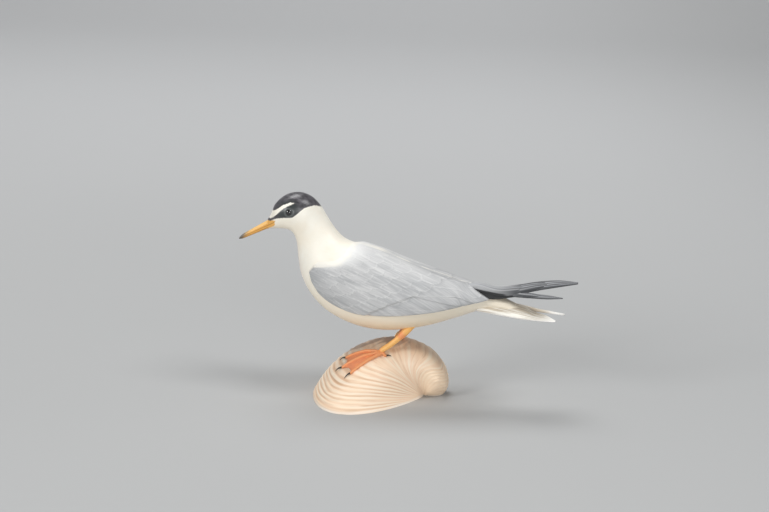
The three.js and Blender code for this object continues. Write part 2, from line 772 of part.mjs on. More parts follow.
function makeLeg({ shank, ankle, toes, hind }, heightAt) {
  return joined([
    makeTube(shank, 2, LEG_SIDES),
    ...[...toes, hind].map((toe) => makeToe(ankle, toe, heightAt)),
    ...[...toes, hind].map((toe) => makeClaw(toe, heightAt)),
    makeWeb(ankle, toes[0], toes[1], heightAt),
    makeWeb(ankle, toes[1], toes[2], heightAt),
  ]);
}

const woodPaint = new THREE.MeshStandardMaterial({ color: 0xc3c7c9, roughness: 0.55, metalness: 0 });
const shellPaint = new THREE.MeshStandardMaterial({ color: 0xdcc4ac, roughness: 0.6, metalness: 0 });
const legPaint = new THREE.MeshStandardMaterial({ color: 0xe08a4a, roughness: 0.5, metalness: 0 });
const darkGlass = new THREE.MeshStandardMaterial({ color: 0x0b0b0c, roughness: 0.08, metalness: 0 });

function named(name, geometry, material) {
  const mesh = new THREE.Mesh(geometry, material);
  mesh.name = name;
  return mesh;
}

const shell = makeShell(shellRows(), SHELL_COLUMNS);
const smoothShell = makeSmoothShell();
const heightAt = heightFinder(smoothShell);
const shellClearance = solidOf(grown(smoothShell, GAP));
const bellyClearance = solidOf(grown(makeBody(), GAP));

const group = new THREE.Group();
group.add(named('bird', geometryOf(makeBird()), woodPaint));
for (const [side, sign] of [['left', -1], ['right', 1]]) {
  group.add(named(`${side}_eye`, ball(eyeCentre(sign), EYE_RADIUS), darkGlass));
  const leg = makeLeg(LEGS[side], heightAt).subtract(shellClearance).subtract(bellyClearance);
  group.add(named(`${side}_leg`, geometryOf(leg), legPaint));
}
group.add(named('shell_base', shell, shellPaint));

export default group;
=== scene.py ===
"""A carved and painted tern on a carved clam shell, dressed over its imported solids.

Sizes are in millimetres until a mesh is made; Blender's meshes and the paints are in metres.
The bird looks along -X, its left side faces -Y and +Z is up.
"""
from __future__ import annotations

import logging
import math
import operator
from dataclasses import dataclass, field
from enum import Enum, IntEnum
from functools import partial
from typing import Any, Callable, Optional, Sequence, Union

import bmesh
import bpy
import numpy as np
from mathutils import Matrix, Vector
from mathutils.bvhtree import BVHTree

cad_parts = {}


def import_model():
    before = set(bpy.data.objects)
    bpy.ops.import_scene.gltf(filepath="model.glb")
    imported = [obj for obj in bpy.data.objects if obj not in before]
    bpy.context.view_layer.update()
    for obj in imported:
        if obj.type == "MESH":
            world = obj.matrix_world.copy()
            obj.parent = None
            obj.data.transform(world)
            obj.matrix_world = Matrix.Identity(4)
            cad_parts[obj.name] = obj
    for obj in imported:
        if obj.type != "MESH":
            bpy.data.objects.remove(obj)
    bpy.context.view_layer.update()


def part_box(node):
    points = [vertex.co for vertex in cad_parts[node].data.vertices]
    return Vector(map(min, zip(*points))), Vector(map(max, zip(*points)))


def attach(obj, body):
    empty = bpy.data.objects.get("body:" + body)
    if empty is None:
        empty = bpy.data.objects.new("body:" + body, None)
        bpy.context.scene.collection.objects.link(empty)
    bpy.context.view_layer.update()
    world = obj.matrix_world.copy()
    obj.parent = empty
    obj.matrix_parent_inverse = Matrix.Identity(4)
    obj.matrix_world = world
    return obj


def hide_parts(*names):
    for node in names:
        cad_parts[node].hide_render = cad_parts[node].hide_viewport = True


LOG = logging.getLogger("tern_carving")
MM = 0.001
FULL_TURN = 2 * math.pi
UP = (0.0, 0.0, 1.0)
Rows = Sequence[Sequence[float]]
Band = tuple[float, float]
Point = tuple[float, float]
Amount = Union[float, np.ndarray]
Colour = tuple[float, float, float, float]
Material = bpy.types.Material
Object = bpy.types.Object
Socket = bpy.types.NodeSocket
Tree = bpy.types.NodeTree


def tint(red: int, green: int, blue: int) -> Colour:
    """Returns a colour, judged on a screen's scale of 0 to 255, as linear values."""
    linear = [((c / 255 + 0.055) / 1.055) ** 2.4 for c in (red, green, blue)]
    return (*linear, 1.0)


def row_at(rows: Rows, t: np.ndarray) -> np.ndarray:
    """Reads a table between its rows, along a smooth curve through them.

    Args:
        rows: the table, one row for each whole number of t.
        t: places along the table.

    Returns:
        One row of values for each place.
    """
    table = np.asarray(rows, float)
    last = len(table) - 1
    i = np.clip(np.floor(t).astype(int), 0, last - 1)
    f = (np.asarray(t) - i)[..., None]
    a, b = table[np.clip(i - 1, 0, last)], table[i]
    c, d = table[i + 1], table[np.clip(i + 2, 0, last)]
    bend = f * (2 * a - 5 * b + 4 * c - d + f * (3 * (b - c) + d - a))
    return b + 0.5 * f * (c - a + bend)


def along_rows(rows: Rows, steps: int) -> np.ndarray:
    """Returns places along a table, with a number of steps from each row to the next."""
    last = len(rows) - 1
    return np.linspace(0, last, last * steps + 1)


def smooth(low: Amount, high: Amount, value: Amount) -> np.ndarray:
    """Returns a smooth rise from 0 at low to 1 at high."""
    t = np.clip((value - low) / (high - low), 0, 1)
    return t * t * (3 - 2 * t)


def bell(value: np.ndarray, middle: float, width: float) -> np.ndarray:
    """Returns a smooth swell that is 1 at its middle and dies away over its width."""
    return np.exp(-(((value - middle) / width) ** 2))


def circle(sides: int) -> np.ndarray:
    """Returns one row of even angles once round."""
    return np.linspace(0, FULL_TURN, sides, endpoint=False)[None, :]


def signed_power(value: np.ndarray, power: np.ndarray) -> np.ndarray:
    """Returns the power of a value's size, with the value's sign."""
    return np.sign(value) * np.abs(value) ** power


def nearest_on(line: Rows, x: np.ndarray, z: np.ndarray) -> tuple[np.ndarray, np.ndarray]:
    """Measures side-view points against a line.

    Args:
        line: the line's corners.
        x: the points' places along the bird.
        z: the points' heights.

    Returns:
        The distance to the line, and the same with a plus sign on the line's right.
    """
    best = np.full(np.shape(x), np.inf)
    signed = np.zeros(np.shape(x))
    for (ax, az), (bx, bz) in zip(line[:-1], line[1:]):
        dx, dz = bx - ax, bz - az
        t = np.clip(((x - ax) * dx + (z - az) * dz) / (dx * dx + dz * dz), 0, 1)
        away = np.hypot(x - ax - t * dx, z - az - t * dz)
        side = np.where(dz * (x - ax) - dx * (z - az) < 0, -1, 1)
        signed = np.where(away < best, away * side, signed)
        best = np.minimum(away, best)
    return best, signed


def depth_inside(outline: Rows, x: np.ndarray, z: np.ndarray) -> np.ndarray:
    """Measures side-view points against a closed outline.

    Args:
        outline: the outline's corners.
        x: the points' places along the bird.
        z: the points' heights.

    Returns:
        How far each point lies inside the outline, less than 0 outside it.
    """
    closed = [*outline, outline[0]]
    away, _ = nearest_on(closed, x, z)
    inside = np.zeros(np.shape(x), bool)
    for (ax, az), (bx, bz) in zip(closed[:-1], closed[1:]):
        crosses = (az > z) != (bz > z)
        at = ax + (z - az) * (bx - ax) / (bz - az if bz != az else 1e-9)
        inside ^= crosses & (x < at)
    return np.where(inside, away, -away)


def rib_point(ribs: np.ndarray, angle: np.ndarray, scale: Amount = 1.0) -> np.ndarray:
    """Places points on ribs.

    Args:
        ribs: rows of upper x and z, lower x and z, half width and fullness.
        angle: from the upper point round one side to the lower point.
        scale: the share of the rib's size.

    Returns:
        The points.
    """
    top_x, top_z, low_x, low_z, half_width, fullness = (ribs[..., None, k] for k in range(6))
    along = 0.5 * scale * signed_power(np.cos(angle), 2 / fullness)
    across = half_width * scale * signed_power(np.sin(angle), 2 / fullness)
    x = (top_x + low_x) / 2 + along * (top_x - low_x)
    z = (top_z + low_z) / 2 + along * (top_z - low_z)
    return np.stack([x, across, z], -1)


def there_and_back(over: np.ndarray, under: np.ndarray) -> np.ndarray:
    """Returns rings that run along one row of values and back along another."""
    return np.concatenate([over, under[:, ::-1]], 1)


def straight_line(start: Sequence[Any], end: Sequence[Any], t: np.ndarray) -> tuple[np.ndarray, np.ndarray]:
    """Returns the x and y of places on a line, where t is 0 at its start and 1 at its end."""
    return start[0] + (end[0] - start[0]) * t, start[1] + (end[1] - start[1]) * t


class Coat(IntEnum):
    """The paints on the bird, in the order of its material slots."""

    BODY = 0
    WING = 1
    PRIMARY = 2
    TAIL = 3
    BILL = 4


@dataclass
class Skin:
    """A closed skin over rings of points, with its coat and the values that its paint reads.

    A value is one number, or an array that fits the rings.
    """

    rings: np.ndarray
    coat: int = 0
    values: dict[str, Amount] = field(default_factory=dict)

    def faces(self) -> list[list[int]]:
        """Returns the faces, pointing outwards, with one many-sided face at each end."""
        count, sides, _ = self.rings.shape
        i, j = np.meshgrid(np.arange(count - 1), np.arange(sides), indexing="ij")
        k = (j + 1) % sides
        quads = np.stack([i * sides + j, i * sides + k, (i + 1) * sides + k, (i + 1) * sides + j], -1)
        quads = quads.reshape(-1, 4)
        first = np.arange(sides)[::-1]
        last = np.arange(sides) + (count - 1) * sides
        if self.volume(quads) < 0:
            quads, first, last = quads[:, ::-1], first[::-1], last[::-1]
        return [*quads.tolist(), first.tolist(), last.tolist()]

    def volume(self, quads: np.ndarray) -> float:
        """Tells which way the side faces point.

        Args:
            quads: the side faces.

        Returns:
            Six times the volume behind them, measured from the skin's middle.
        """
        points = self.rings.reshape(-1, 3)
        points = points - points.mean(0)
        a, b, c, d = (points[quads[:, n]] for n in range(4))
        return float((np.cross(b, c) * a).sum() + (np.cross(c, d) * a).sum())


def linked(name: str, data: bpy.types.ID) -> Object:
    """Makes an object of its data and adds it to the scene."""
    made = bpy.data.objects.new(name, data)
    bpy.context.scene.collection.objects.link(made)
    return made


def object_of(name: str, skins: Sequence[Skin], materials: Sequence[Material]) -> Object:
    """Makes one object of closed skins.

    Args:
        name: the object's name.
        skins: the skins, in millimetres.
        materials: the materials, in the order of the skins' coats.

    Returns:
        The object, in metres, with the skins' values as named attributes.
    """
    points: list[np.ndarray] = []
    faces: list[list[int]] = []
    coats: list[int] = []
    start = 0
    for skin in skins:
        flat = skin.rings.reshape(-1, 3)
        points.append(flat * MM)
        own = skin.faces()
        faces.extend([[start + n for n in face] for face in own])
        coats.extend([int(skin.coat)] * len(own))
        start += len(flat)
    mesh = bpy.data.meshes.new(name)
    mesh.from_pydata(np.concatenate(points), [], faces)
    for material in materials:
        mesh.materials.append(material)
    mesh.polygons.foreach_set("material_index", coats)
    mesh.polygons.foreach_set("use_smooth", [True] * len(coats))
    for key in sorted({key for skin in skins for key in skin.values}):
        parts = [
            np.broadcast_to(skin.values.get(key, 0.0), skin.rings.shape[:2]).ravel() for skin in skins
        ]
        mesh.attributes.new(key, "FLOAT", "POINT").data.foreach_set("value", np.concatenate(parts))
    split_ends(mesh)
    return linked(name, mesh)


def split_ends(mesh: bpy.types.Mesh) -> None:
    """Cuts many-sided faces into triangles.

    Args:
        mesh: the mesh.
    """
    work = bmesh.new()
    work.from_mesh(mesh)
    many = [face for face in work.faces if len(face.verts) > 4]
    bmesh.ops.triangulate(work, faces=many)
    work.to_mesh(mesh)
    work.free()
    mesh.update()


def tube(rows: np.ndarray, sides: int) -> np.ndarray:
    """Makes a tube along a path.

    Args:
        rows: rows of x, y, z, half width and half depth.
        sides: the number of points round it.

    Returns:
        Rings of points, square to the path.
    """
    path = rows[:, :3]
    along = np.gradient(path, axis=0)
    along /= np.linalg.norm(along, axis=1, keepdims=True)
    across = np.cross(UP, along)
    across /= np.linalg.norm(across, axis=1, keepdims=True)
    up = np.cross(along, across)
    angle = circle(sides)[..., None]
    wide = np.cos(angle) * rows[:, None, 3:4] * across[:, None]
    deep = np.sin(angle) * rows[:, None, 4:5] * up[:, None]
    return path[:, None] + wide + deep


def arithmetic(operation: str, backwards: bool = False) -> Callable[["Value", "Number"], "Value"]:
    """Makes a method of Value that joins it to another number in one Math node.

    Args:
        operation: the node's operation.
        backwards: whether the other number comes first.

    Returns:
        The method.
    """

    def joined(this: "Value", other: "Number") -> "Value":
        """Returns the result."""
        pair = (other, this) if backwards else (this, other)
        return this.graph.math(operation, *pair)

    return joined


class Value:
    """A number that varies over a surface: a node's output, with arithmetic."""

    __add__ = __radd__ = arithmetic("ADD")
    __sub__ = arithmetic("SUBTRACT")
    __rsub__ = arithmetic("SUBTRACT", backwards=True)
    __mul__ = __rmul__ = arithmetic("MULTIPLY")
    __truediv__ = arithmetic("DIVIDE")
    __pow__ = arithmetic("POWER")

    def __init__(self, graph: "Graph", socket: Socket) -> None:
        """Keeps the graph and the output socket."""
        self.graph = graph
        self.socket = socket


Number = Union[Value, float]


class Graph:
    """Builds one node tree, for a material or for geometry."""

    def __init__(self, tree: Tree) -> None:
        """Keeps the tree and empties it."""
        self.tree = tree
        tree.nodes.clear()

    def node(
        self,
        kind: str,
        settings: Optional[dict[str, Any]] = None,
        inputs: Optional[dict[Union[str, int], Any]] = None,
    ) -> bpy.types.Node:
        """Adds a node.

        Args:
            kind: the node's type.
            settings: its own settings, which are set first.
            inputs: values or links for its sockets.

        Returns:
            The node.
        """
        made = self.tree.nodes.new(kind)
        for name, value in (settings or {}).items():
            setattr(made, name, value)
        for name, value in (inputs or {}).items():
            self.feed(made.inputs[name], value)
        return made

    def feed(self, socket: Socket, value: Any) -> None:
        """Links a socket to a value, or sets it to a constant.

        Args:
            socket: the input socket.
            value: a value, an output socket or a constant.
        """
        if isinstance(value, Value):
            self.tree.links.new(value.socket, socket)
        elif isinstance(value, Socket):
            self.tree.links.new(value, socket)
        else:
            socket.default_value = value

    def math(self, operation: str, *values: Number) -> Value:
        """Returns one Math node's result."""
        made = self.node("ShaderNodeMath", {"operation": operation}, dict(enumerate(values)))
        return Value(self, made.outputs[0])

    def smooth(self, low: float, high: float, value: Value) -> Value:
        """Returns a smooth rise from 0 at low to 1 at high; low may be the larger."""
        ends = {"Value": value, "From Min": low, "From Max": high}
        made = self.node("ShaderNodeMapRange", {"interpolation_type": "SMOOTHSTEP"}, ends)
        return Value(self, made.outputs["Result"])

    def mix(self, share: Number, first: Any, second: Any) -> Socket:
        """Returns a mix of two colours."""
        # The node's colours go into its sockets 6 and 7 and come out of its third output.
        made = self.node("ShaderNodeMix", {"data_type": "RGBA"}, {0: share, 6: first, 7: second})
        return made.outputs[2]

    def layered(self, colour: Any, *coats: tuple[Value, Any]) -> Socket:
        """Lays coats over a colour in turn, each given by its share and its own colour."""
        for share, coat in coats:
            colour = self.mix(share, colour, coat)
        return colour

    def vector(self, x: Number, y: Number, z: Number) -> Socket:
        """Returns a vector of three values."""
        return self.node("ShaderNodeCombineXYZ", None, {0: x, 1: y, 2: z}).outputs[0]

    def split(self, vector: Socket) -> tuple[Value, Value, Value]:
        """Returns a vector's three values."""
        parts = self.node("ShaderNodeSeparateXYZ", None, {0: vector}).outputs
        return Value(self, parts[0]), Value(self, parts[1]), Value(self, parts[2])

    def noise(self, place: Any, scale: float, detail: float) -> Value:
        """Returns smooth noise about one half."""
        inputs = {"Vector": place, "Scale": scale, "Detail": detail}
        return Value(self, self.node("ShaderNodeTexNoise", None, inputs).outputs[0])

    def grain(self, x: Number, y: Number, z: Number, detail: float) -> Value:
        """Returns smooth noise about one half, of a size of its own along each axis."""
        return self.noise(self.vector(x, y, z), 1.0, detail)


class PaintGraph(Graph):
    """The node tree of one painted finish."""

    def __init__(self, name: str, coat: float, coat_roughness: float) -> None:
        """Makes the material, its shader and the object's own coordinates.

        Args:
            name: the material's name.
            coat: the weight of the varnish over the paint.
            coat_roughness: the roughness of that varnish.
        """
        self.material = bpy.data.materials.new(name)
        self.material.use_nodes = True
        super().__init__(self.material.node_tree)
        output = self.node("ShaderNodeOutputMaterial")
        constants = {"Coat Weight": coat, "Coat Roughness": coat_roughness}
        self.shader = self.node("ShaderNodeBsdfPrincipled", None, constants)
        self.tree.links.new(self.shader.outputs[0], output.inputs["Surface"])
        self.place = self.node("ShaderNodeTexCoord").outputs["Object"]
        self.x, self.y, self.z = self.split(self.place)

    def attribute(self, name: str) -> Value:
        """Returns a value stored at the piece's points."""
        made = self.node("ShaderNodeAttribute", {"attribute_name": name})
        return Value(self, made.outputs["Fac"])

    def finish(
        self,
        colour: Any,
        roughness: Number,
        height: Optional[Value] = None,
        depth: float = 0.0,
    ) -> Material:
        """Feeds the shader.

        Args:
            colour: the base colour.
            roughness: the paint's roughness.
            height: the fine relief, from 0 to 1, or None.
            depth: the relief's depth in metres.

        Returns:
            The material.
        """
        self.feed(self.shader.inputs["Base Color"], colour)
        self.feed(self.shader.inputs["Roughness"], roughness)
        if height is not None:
            relief = {"Strength": 1.0, "Distance": depth, "Height": height}
            bump = self.node("ShaderNodeBump", None, relief)
            self.feed(self.shader.inputs["Normal"], bump.outputs[0])
        return self.material


@dataclass(frozen=True)
class BodyPaint:
    """White neck and breast, turning cream and then tan towards the bottom, dark cap with a white blaze,
    and a grey eyelid, with painted shade under the head and under the wingtips.

    A band is two places, in metres or as its comment says, between which a colour sets in.
    """

    white: Colour = tint(248, 244, 232)
    cream: Colour = tint(243, 232, 212)
    blush: Colour = tint(242, 226, 214)
    tan: Colour = tint(248, 225, 191)
    wingtip_shade: Colour = tint(226, 214, 192)
    cap_dark: Colour = tint(58, 56, 60)
    cap_light: Colour = tint(98, 95, 100)
    stripe: Colour = tint(58, 62, 62)
    lid: Colour = tint(86, 90, 89)
    yellow: Colour = tint(236, 178, 92)
    brown: Colour = tint(168, 116, 58)
    cream_heights: Band = (0.094, 0.056)
    tan_heights: Band = (0.062, 0.048)
    throat_shade_top: Band = (0.123, 0.113)
    throat_shade_foot: Band = (0.096, 0.108)
    throat_shade_front: Band = (-0.044, -0.056)
    breast_front: Band = (-0.048, -0.058)
    breast_top: Band = (0.112, 0.104)
    breast_middle: float = 0.085
    breast_lean: float = 0.25
    vent_shade_start: Band = (0.066, 0.078)
    vent_shade_heights: Band = (0.0635, 0.0665)
    # Millimetres from the eye's middle, from the mouth's line and from an outline of paint.
    stripe_reach: Band = (10.0, 5.0)
    lid_edge: Band = (3.7, 3.0)
    mouth_reach: Band = (0.42, 0.08)
    cap_edge: Band = (-0.22, 0.22)
    blaze_edge: Band = (-0.2, 0.2)
    gape_edge: Band = (-0.3, 0.4)
    raggedness: float = 1.1

    def material(self) -> Material:
        """Returns the material."""
        g = PaintGraph("body_paint", 0.12, 0.35)
        cloud = g.noise(g.place, 60.0, 3.0)
        strokes = g.grain(g.x * 260.0, g.y * 700.0, g.z * 420.0, 3.0)
        lines = g.grain(g.x * 60.0, g.y * 900.0, g.z * 900.0, 2.0)
        rag = (g.noise(g.place, 1500.0, 2.0) - 0.5) * self.raggedness
        # Painted shade under the head, in cream.
        throat_shade = g.smooth(*self.throat_shade_top, g.z) * g.smooth(*self.throat_shade_foot, g.z)
        leaning = g.x + (g.z - self.breast_middle) * self.breast_lean
        front = g.smooth(*self.breast_front, leaning) * g.smooth(*self.breast_top, g.z)
        # Painted shade under the wingtips.
        vent_shade = g.smooth(*self.vent_shade_start, g.x) * g.smooth(*self.vent_shade_heights, g.z)
        white = g.layered(
            self.white,
            (g.smooth(0.40, 0.66, cloud) * 0.35, self.cream),
            # cream painted shade under the head
            (throat_shade * g.smooth(*self.throat_shade_front, g.x) * 0.6, self.cream),
            (g.smooth(*self.cream_heights, g.z + (cloud - 0.5) * 0.012), self.cream),
            (front * 0.7, self.blush),
            (g.smooth(*self.tan_heights, g.z) * 0.85, self.tan),
            (g.smooth(0.45, 0.8, strokes) * 0.22, self.cream),
            # grey-brown painted shade under the wingtips, in streaks
            (vent_shade * (0.3 + lines * 0.6), self.wingtip_shade),
        )
        around = g.attribute("eye")
        dark = g.layered(
            self.cap_dark,
            (g.smooth(0.3, 0.75, strokes), self.cap_light),
            (g.smooth(*self.stripe_reach, around), self.stripe),
            (g.smooth(*self.lid_edge, around), self.lid),
        )
        cap = g.smooth(*self.cap_edge, g.attribute("cap") + rag)
        blaze = g.smooth(*self.blaze_edge, g.attribute("blaze") + rag)
        mask = cap * (1.0 - blaze)
        gape = g.smooth(*self.gape_edge, g.attribute("gape") + rag * 0.5)
        mouth = g.smooth(*self.mouth_reach, g.attribute("mouth")) * 0.7
        yellow = g.mix(mouth, self.yellow, self.brown)
        colour = g.layered(white, (gape, yellow), (mask, dark))
        rough = 0.5 - mask * 0.18 + (strokes - 0.5) * 0.12
        return g.finish(colour, rough, strokes, 0.00010)


@dataclass(frozen=True)
class WingPaint:
    """Pale grey feathers with lighter edges in soft strokes, white at the mantle, with painted light along
    the top, painted shade low at the front, towards the rear and under each feather's edge, and pale
    strokes along the back that are partly a painted highlight.
    """

    grey: Colour = tint(179, 180, 181)
    pale: Colour = tint(199, 199, 199)
    shade: Colour = tint(148, 150, 152)
    edge: Colour = tint(230, 230, 228)
    white: Colour = tint(243, 239, 229)
    # Places along the bird and heights, in metres.
    painted_light_rear: Band = (0.05, 0.0)
    painted_shade_front: Band = (0.006, -0.032)
    painted_shade_rear: Band = (0.01, 0.06)
    back_highlight_start: Band = (-0.021, -0.015)
    back_highlight_end: Band = (0.007, -0.001)
    veil_heights: Band = (0.089, 0.096)
    wrist_heights: Band = (0.0935, 0.0895)
    # Millimetres down from the back, up from the lower edge, in from a feather's edge,
    # out from the next feather's and back from the mantle.
    painted_light_down: Band = (24.0, 4.0)
    back_highlight_down: Band = (3.4, 1.6)
    crest_highlight_down: Band = (2.4, 0.6)
    painted_shade_above: Band = (15.0, 1.0)
    rim_reach: Band = (1.2, 0.1)
    feather_shadow_reach: Band = (2.8, 0.0)
    veil_reach: Band = (13.0, 2.0)
    soft_edge: Band = (-2.6, 2.2)
    crisp_edge: Band = (-0.5, 0.5)

    def material(self) -> Material:
        """Returns the material."""
        g = PaintGraph("wing_paint", 0.10, 0.38)
        run, fall, edge, tone = (g.attribute(name) for name in ("run", "fall", "edge", "tone"))
        down, inside = g.attribute("down"), g.attribute("mantle")
        broad = g.grain(run * 0.035, fall * 0.26, 0.0, 3.0)
        thin = g.grain(run * 0.07, fall * 1.1, tone * 0.5, 3.0)
        fine = g.grain(run * 0.25, fall * 4.0, tone * 3.0, 2.0)
        drift = broad - 0.5
        # Painted light: the wing is paler near the back, fading towards the rear.
        light = g.smooth(*self.painted_light_down, down + drift * 14.0) * g.smooth(*self.painted_light_rear, g.x)
        # Painted shadow under the edge of each higher feather.
        lee = g.smooth(*self.feather_shadow_reach, g.attribute("lee") + (fine - 0.5) * 0.8)
        # Painted shade near the wing's lower edge at the front.
        front = g.smooth(*self.painted_shade_above, g.attribute("above")) * g.smooth(*self.painted_shade_front, g.x)
        rim = g.smooth(*self.rim_reach, edge + (fine - 0.5) * 0.9)
        rim = rim * g.smooth(0.36, 0.60, broad + thin * 0.2)
        below = down + drift * 3.0
        # Pale strokes along the back, partly a painted highlight.
        stripe = g.smooth(*self.back_highlight_down, below) * g.smooth(*self.back_highlight_start, g.x)
        stripe = stripe * g.smooth(*self.back_highlight_end, g.x)
        crest = g.smooth(*self.crest_highlight_down, below) * g.smooth(0.45, 0.62, thin) * 0.6
        veil = g.smooth(*self.veil_reach, inside + drift * 9.0) * g.smooth(*self.veil_heights, g.z)
        colour = g.layered(
            self.grey,
            (g.smooth(0.36, 0.62, broad * 0.86 + tone * 0.14), self.pale),
            (g.smooth(0.48, 0.74, thin) * 0.38, self.edge),
            (g.smooth(0.50, 0.24, thin) * 0.34, self.shade),
            # painted light along the top of the wing
            (light * 0.4, self.edge),
            # painted shadow under feather edges
            (lee * 0.27, self.shade),
            # painted shade low at the front and towards the rear
            (front * 0.44 + g.smooth(*self.painted_shade_rear, g.x) * 0.26, self.shade),
            (rim * 0.26, self.edge),
            # pale strokes on the back, partly a painted highlight
            (g.math("MAXIMUM", stripe * 0.85, crest), self.white),
            (veil * 0.6, self.edge),
        )
        soft = g.smooth(*self.soft_edge, inside + drift * 4.0 + (thin - 0.5) * 2.5)
        crisp = g.smooth(*self.crisp_edge, inside + (fine - 0.5) * 0.8)
        wrist = g.smooth(*self.wrist_heights, g.z)
        colour = g.mix(soft * (1.0 - wrist) + crisp * wrist, self.white, colour)
        return g.finish(colour, 0.46 + fine * 0.1, fine, 0.00010)


@dataclass(frozen=True)
class PrimaryPaint:
    """Dark grey wingtip feathers with light shafts, black below and pale above near the wing."""

    dark: Colour = tint(64, 66, 69)
    black: Colour = tint(24, 26, 28)
    light: Colour = tint(168, 169, 170)
    line: Colour = tint(166, 168, 172)
    rim: Colour = tint(48, 50, 53)
    pale: Colour = tint(222, 222, 220)
    # Places along the bird, in metres.
    light_end: Band = (0.096, 0.070)
    rim_start: Band = (0.084, 0.098)
    pale_end: Band = (0.094, 0.080)
    barbs_end: Band = (0.106, 0.092)
    black_end: Band = (0.0872, 0.0832)
    # The line under which the folded tips are black: its start's x and z, fall and softness.
    fall_start: Band = (0.062, 0.0802)
    fall_slope: float = 0.164
    fall_edge: Band = (0.0004, -0.0004)
    # Places across a feather, from -1 to 1.
    threads: tuple[float, ...] = (-0.45, 0.02, 0.46)
    thread_reach: Band = (0.13, 0.04)
    rim_across: Band = (0.66, 0.92)
    pale_across: Band = (0.45, 0.85)

    def material(self) -> Material:
        """Returns the material."""
        g = PaintGraph("primary_paint", 0.12, 0.3)
        across, tone = g.attribute("across"), g.attribute("tone")
        strokes = g.grain(g.x * 40.0, across * 9.0, tone * 7.0, 3.0)
        barbs = g.grain(g.x * 9.0, across * 4.5, 2.0, 1.0)
        drift = strokes - 0.5
        rim = g.smooth(*self.rim_across, g.math("ABSOLUTE", across) + drift * 0.3)
        near = g.smooth(*self.barbs_end, g.x) * 0.45
        over = g.z - self.fall_start[1] + (g.x - self.fall_start[0]) * self.fall_slope
        below = g.smooth(*self.fall_edge, over + drift * 0.001) * g.smooth(*self.black_end, g.x)
        shafts = []
        for place in self.threads:
            thread = g.smooth(*self.thread_reach, g.math("ABSOLUTE", across - place + drift * 0.08))
            shafts.append((thread * g.smooth(0.34, 0.52, strokes) * 0.75, self.line))
        colour = g.layered(
            self.dark,
            (g.smooth(*self.light_end, g.x + drift * 0.03), self.light),
            (g.smooth(0.45, 0.8, strokes) * 0.5, self.line),
            (g.smooth(0.45, 0.25, strokes) * 0.6, self.dark),
            (rim * g.smooth(*self.rim_start, g.x) * 0.8, self.rim),
            *shafts,
            (g.smooth(*self.pale_across, across) * g.smooth(*self.pale_end, g.x) * 0.8, self.pale),
            (g.smooth(0.50, 0.72, barbs) * near, self.pale),
            (g.smooth(0.48, 0.28, barbs) * near, self.dark),
            (g.math("MAXIMUM", below, g.smooth(0.3, 0.0, tone)), self.black),
        )
        return g.finish(colour, 0.54, strokes, 0.00015)


@dataclass(frozen=True)
class TailPaint:
    """Cream-white tail feathers with brownish lines between them, and tan and grey-brown painted shade of
    the wingtips on their inner part near the body.
    """

    white: Colour = tint(245, 241, 231)
    bright: Colour = tint(252, 250, 245)
    line: Colour = tint(186, 171, 149)
    tan: Colour = tint(222, 209, 186)
    wingtip_shade: Colour = tint(190, 180, 164)
    # Places along the bird, in metres.
    base_shade_end: Band = (0.120, 0.080)
    lines_end: Band = (0.120, 0.102)
    streaks_end: Band = (0.116, 0.104)
    wingtip_shade_end: Band = (0.094, 0.078)
    bright_start: Band = (0.108, 0.118)
    # The outer edge's underside: its start's x and z, its fall, and the bright rim's height over it.
    edge_start: Band = (0.060, 0.0648)
    edge_slope: float = 0.063
    rim_height: Band = (0.0008, 0.0004)
    # Shares of the tail's half, from its middle to its outer edge, and across one feather.
    inner: Band = (0.80, 0.25)
    lines_outer: Band = (0.95, 0.7)
    strokes_outer: Band = (0.9, 0.6)
    rim_outer: Band = (0.93, 0.985)
    line_reach: Band = (0.24, 0.05)

    def material(self) -> Material:
        """Returns the material."""
        g = PaintGraph("tail_paint", 0.10, 0.36)
        across, tone = g.attribute("across"), g.attribute("tone")
        strokes = g.grain(g.x * 60.0, across * 3.0, tone * 9.0, 3.0)
        streaks = g.grain(g.x * 22.0, tone * 15.0, g.z * 350.0, 2.0)
        up = g.z - self.edge_start[1] + (g.x - self.edge_start[0]) * self.edge_slope
        inner = g.smooth(*self.inner, tone)
        # Painted shade of the wingtips over the tail's inner feathers near the body.
        base = g.smooth(*self.base_shade_end, g.x + (strokes - 0.5) * 0.03)
        line = g.smooth(*self.line_reach, g.math("MINIMUM", across, 1.0 - across))
        line = line * g.smooth(*self.lines_outer, tone) * 0.9
        stroke = g.smooth(0.48, 0.66, strokes) * g.smooth(*self.strokes_outer, tone)
        streak = g.smooth(0.46, 0.60, streaks) * g.smooth(*self.streaks_end, g.x)
        rim = g.smooth(*self.rim_outer, tone) * g.smooth(*self.rim_height, up)
        bright = g.math("MAXIMUM", rim, g.smooth(*self.bright_start, g.x))
        colour = g.layered(
            self.white,
            # tan painted shade of the wingtips
            (inner * base * 0.8, self.tan),
            (line * g.smooth(*self.lines_end, g.x), self.line),
            (stroke * 0.6, self.line),
            # grey-brown painted shade of the wingtips, nearer the body
            (inner * g.smooth(*self.wingtip_shade_end, g.x) * 0.35, self.wingtip_shade),
            (streak * 0.75, self.line),
            (bright * 0.8, self.bright),
        )
        return g.finish(colour, 0.5, strokes, 0.00012)


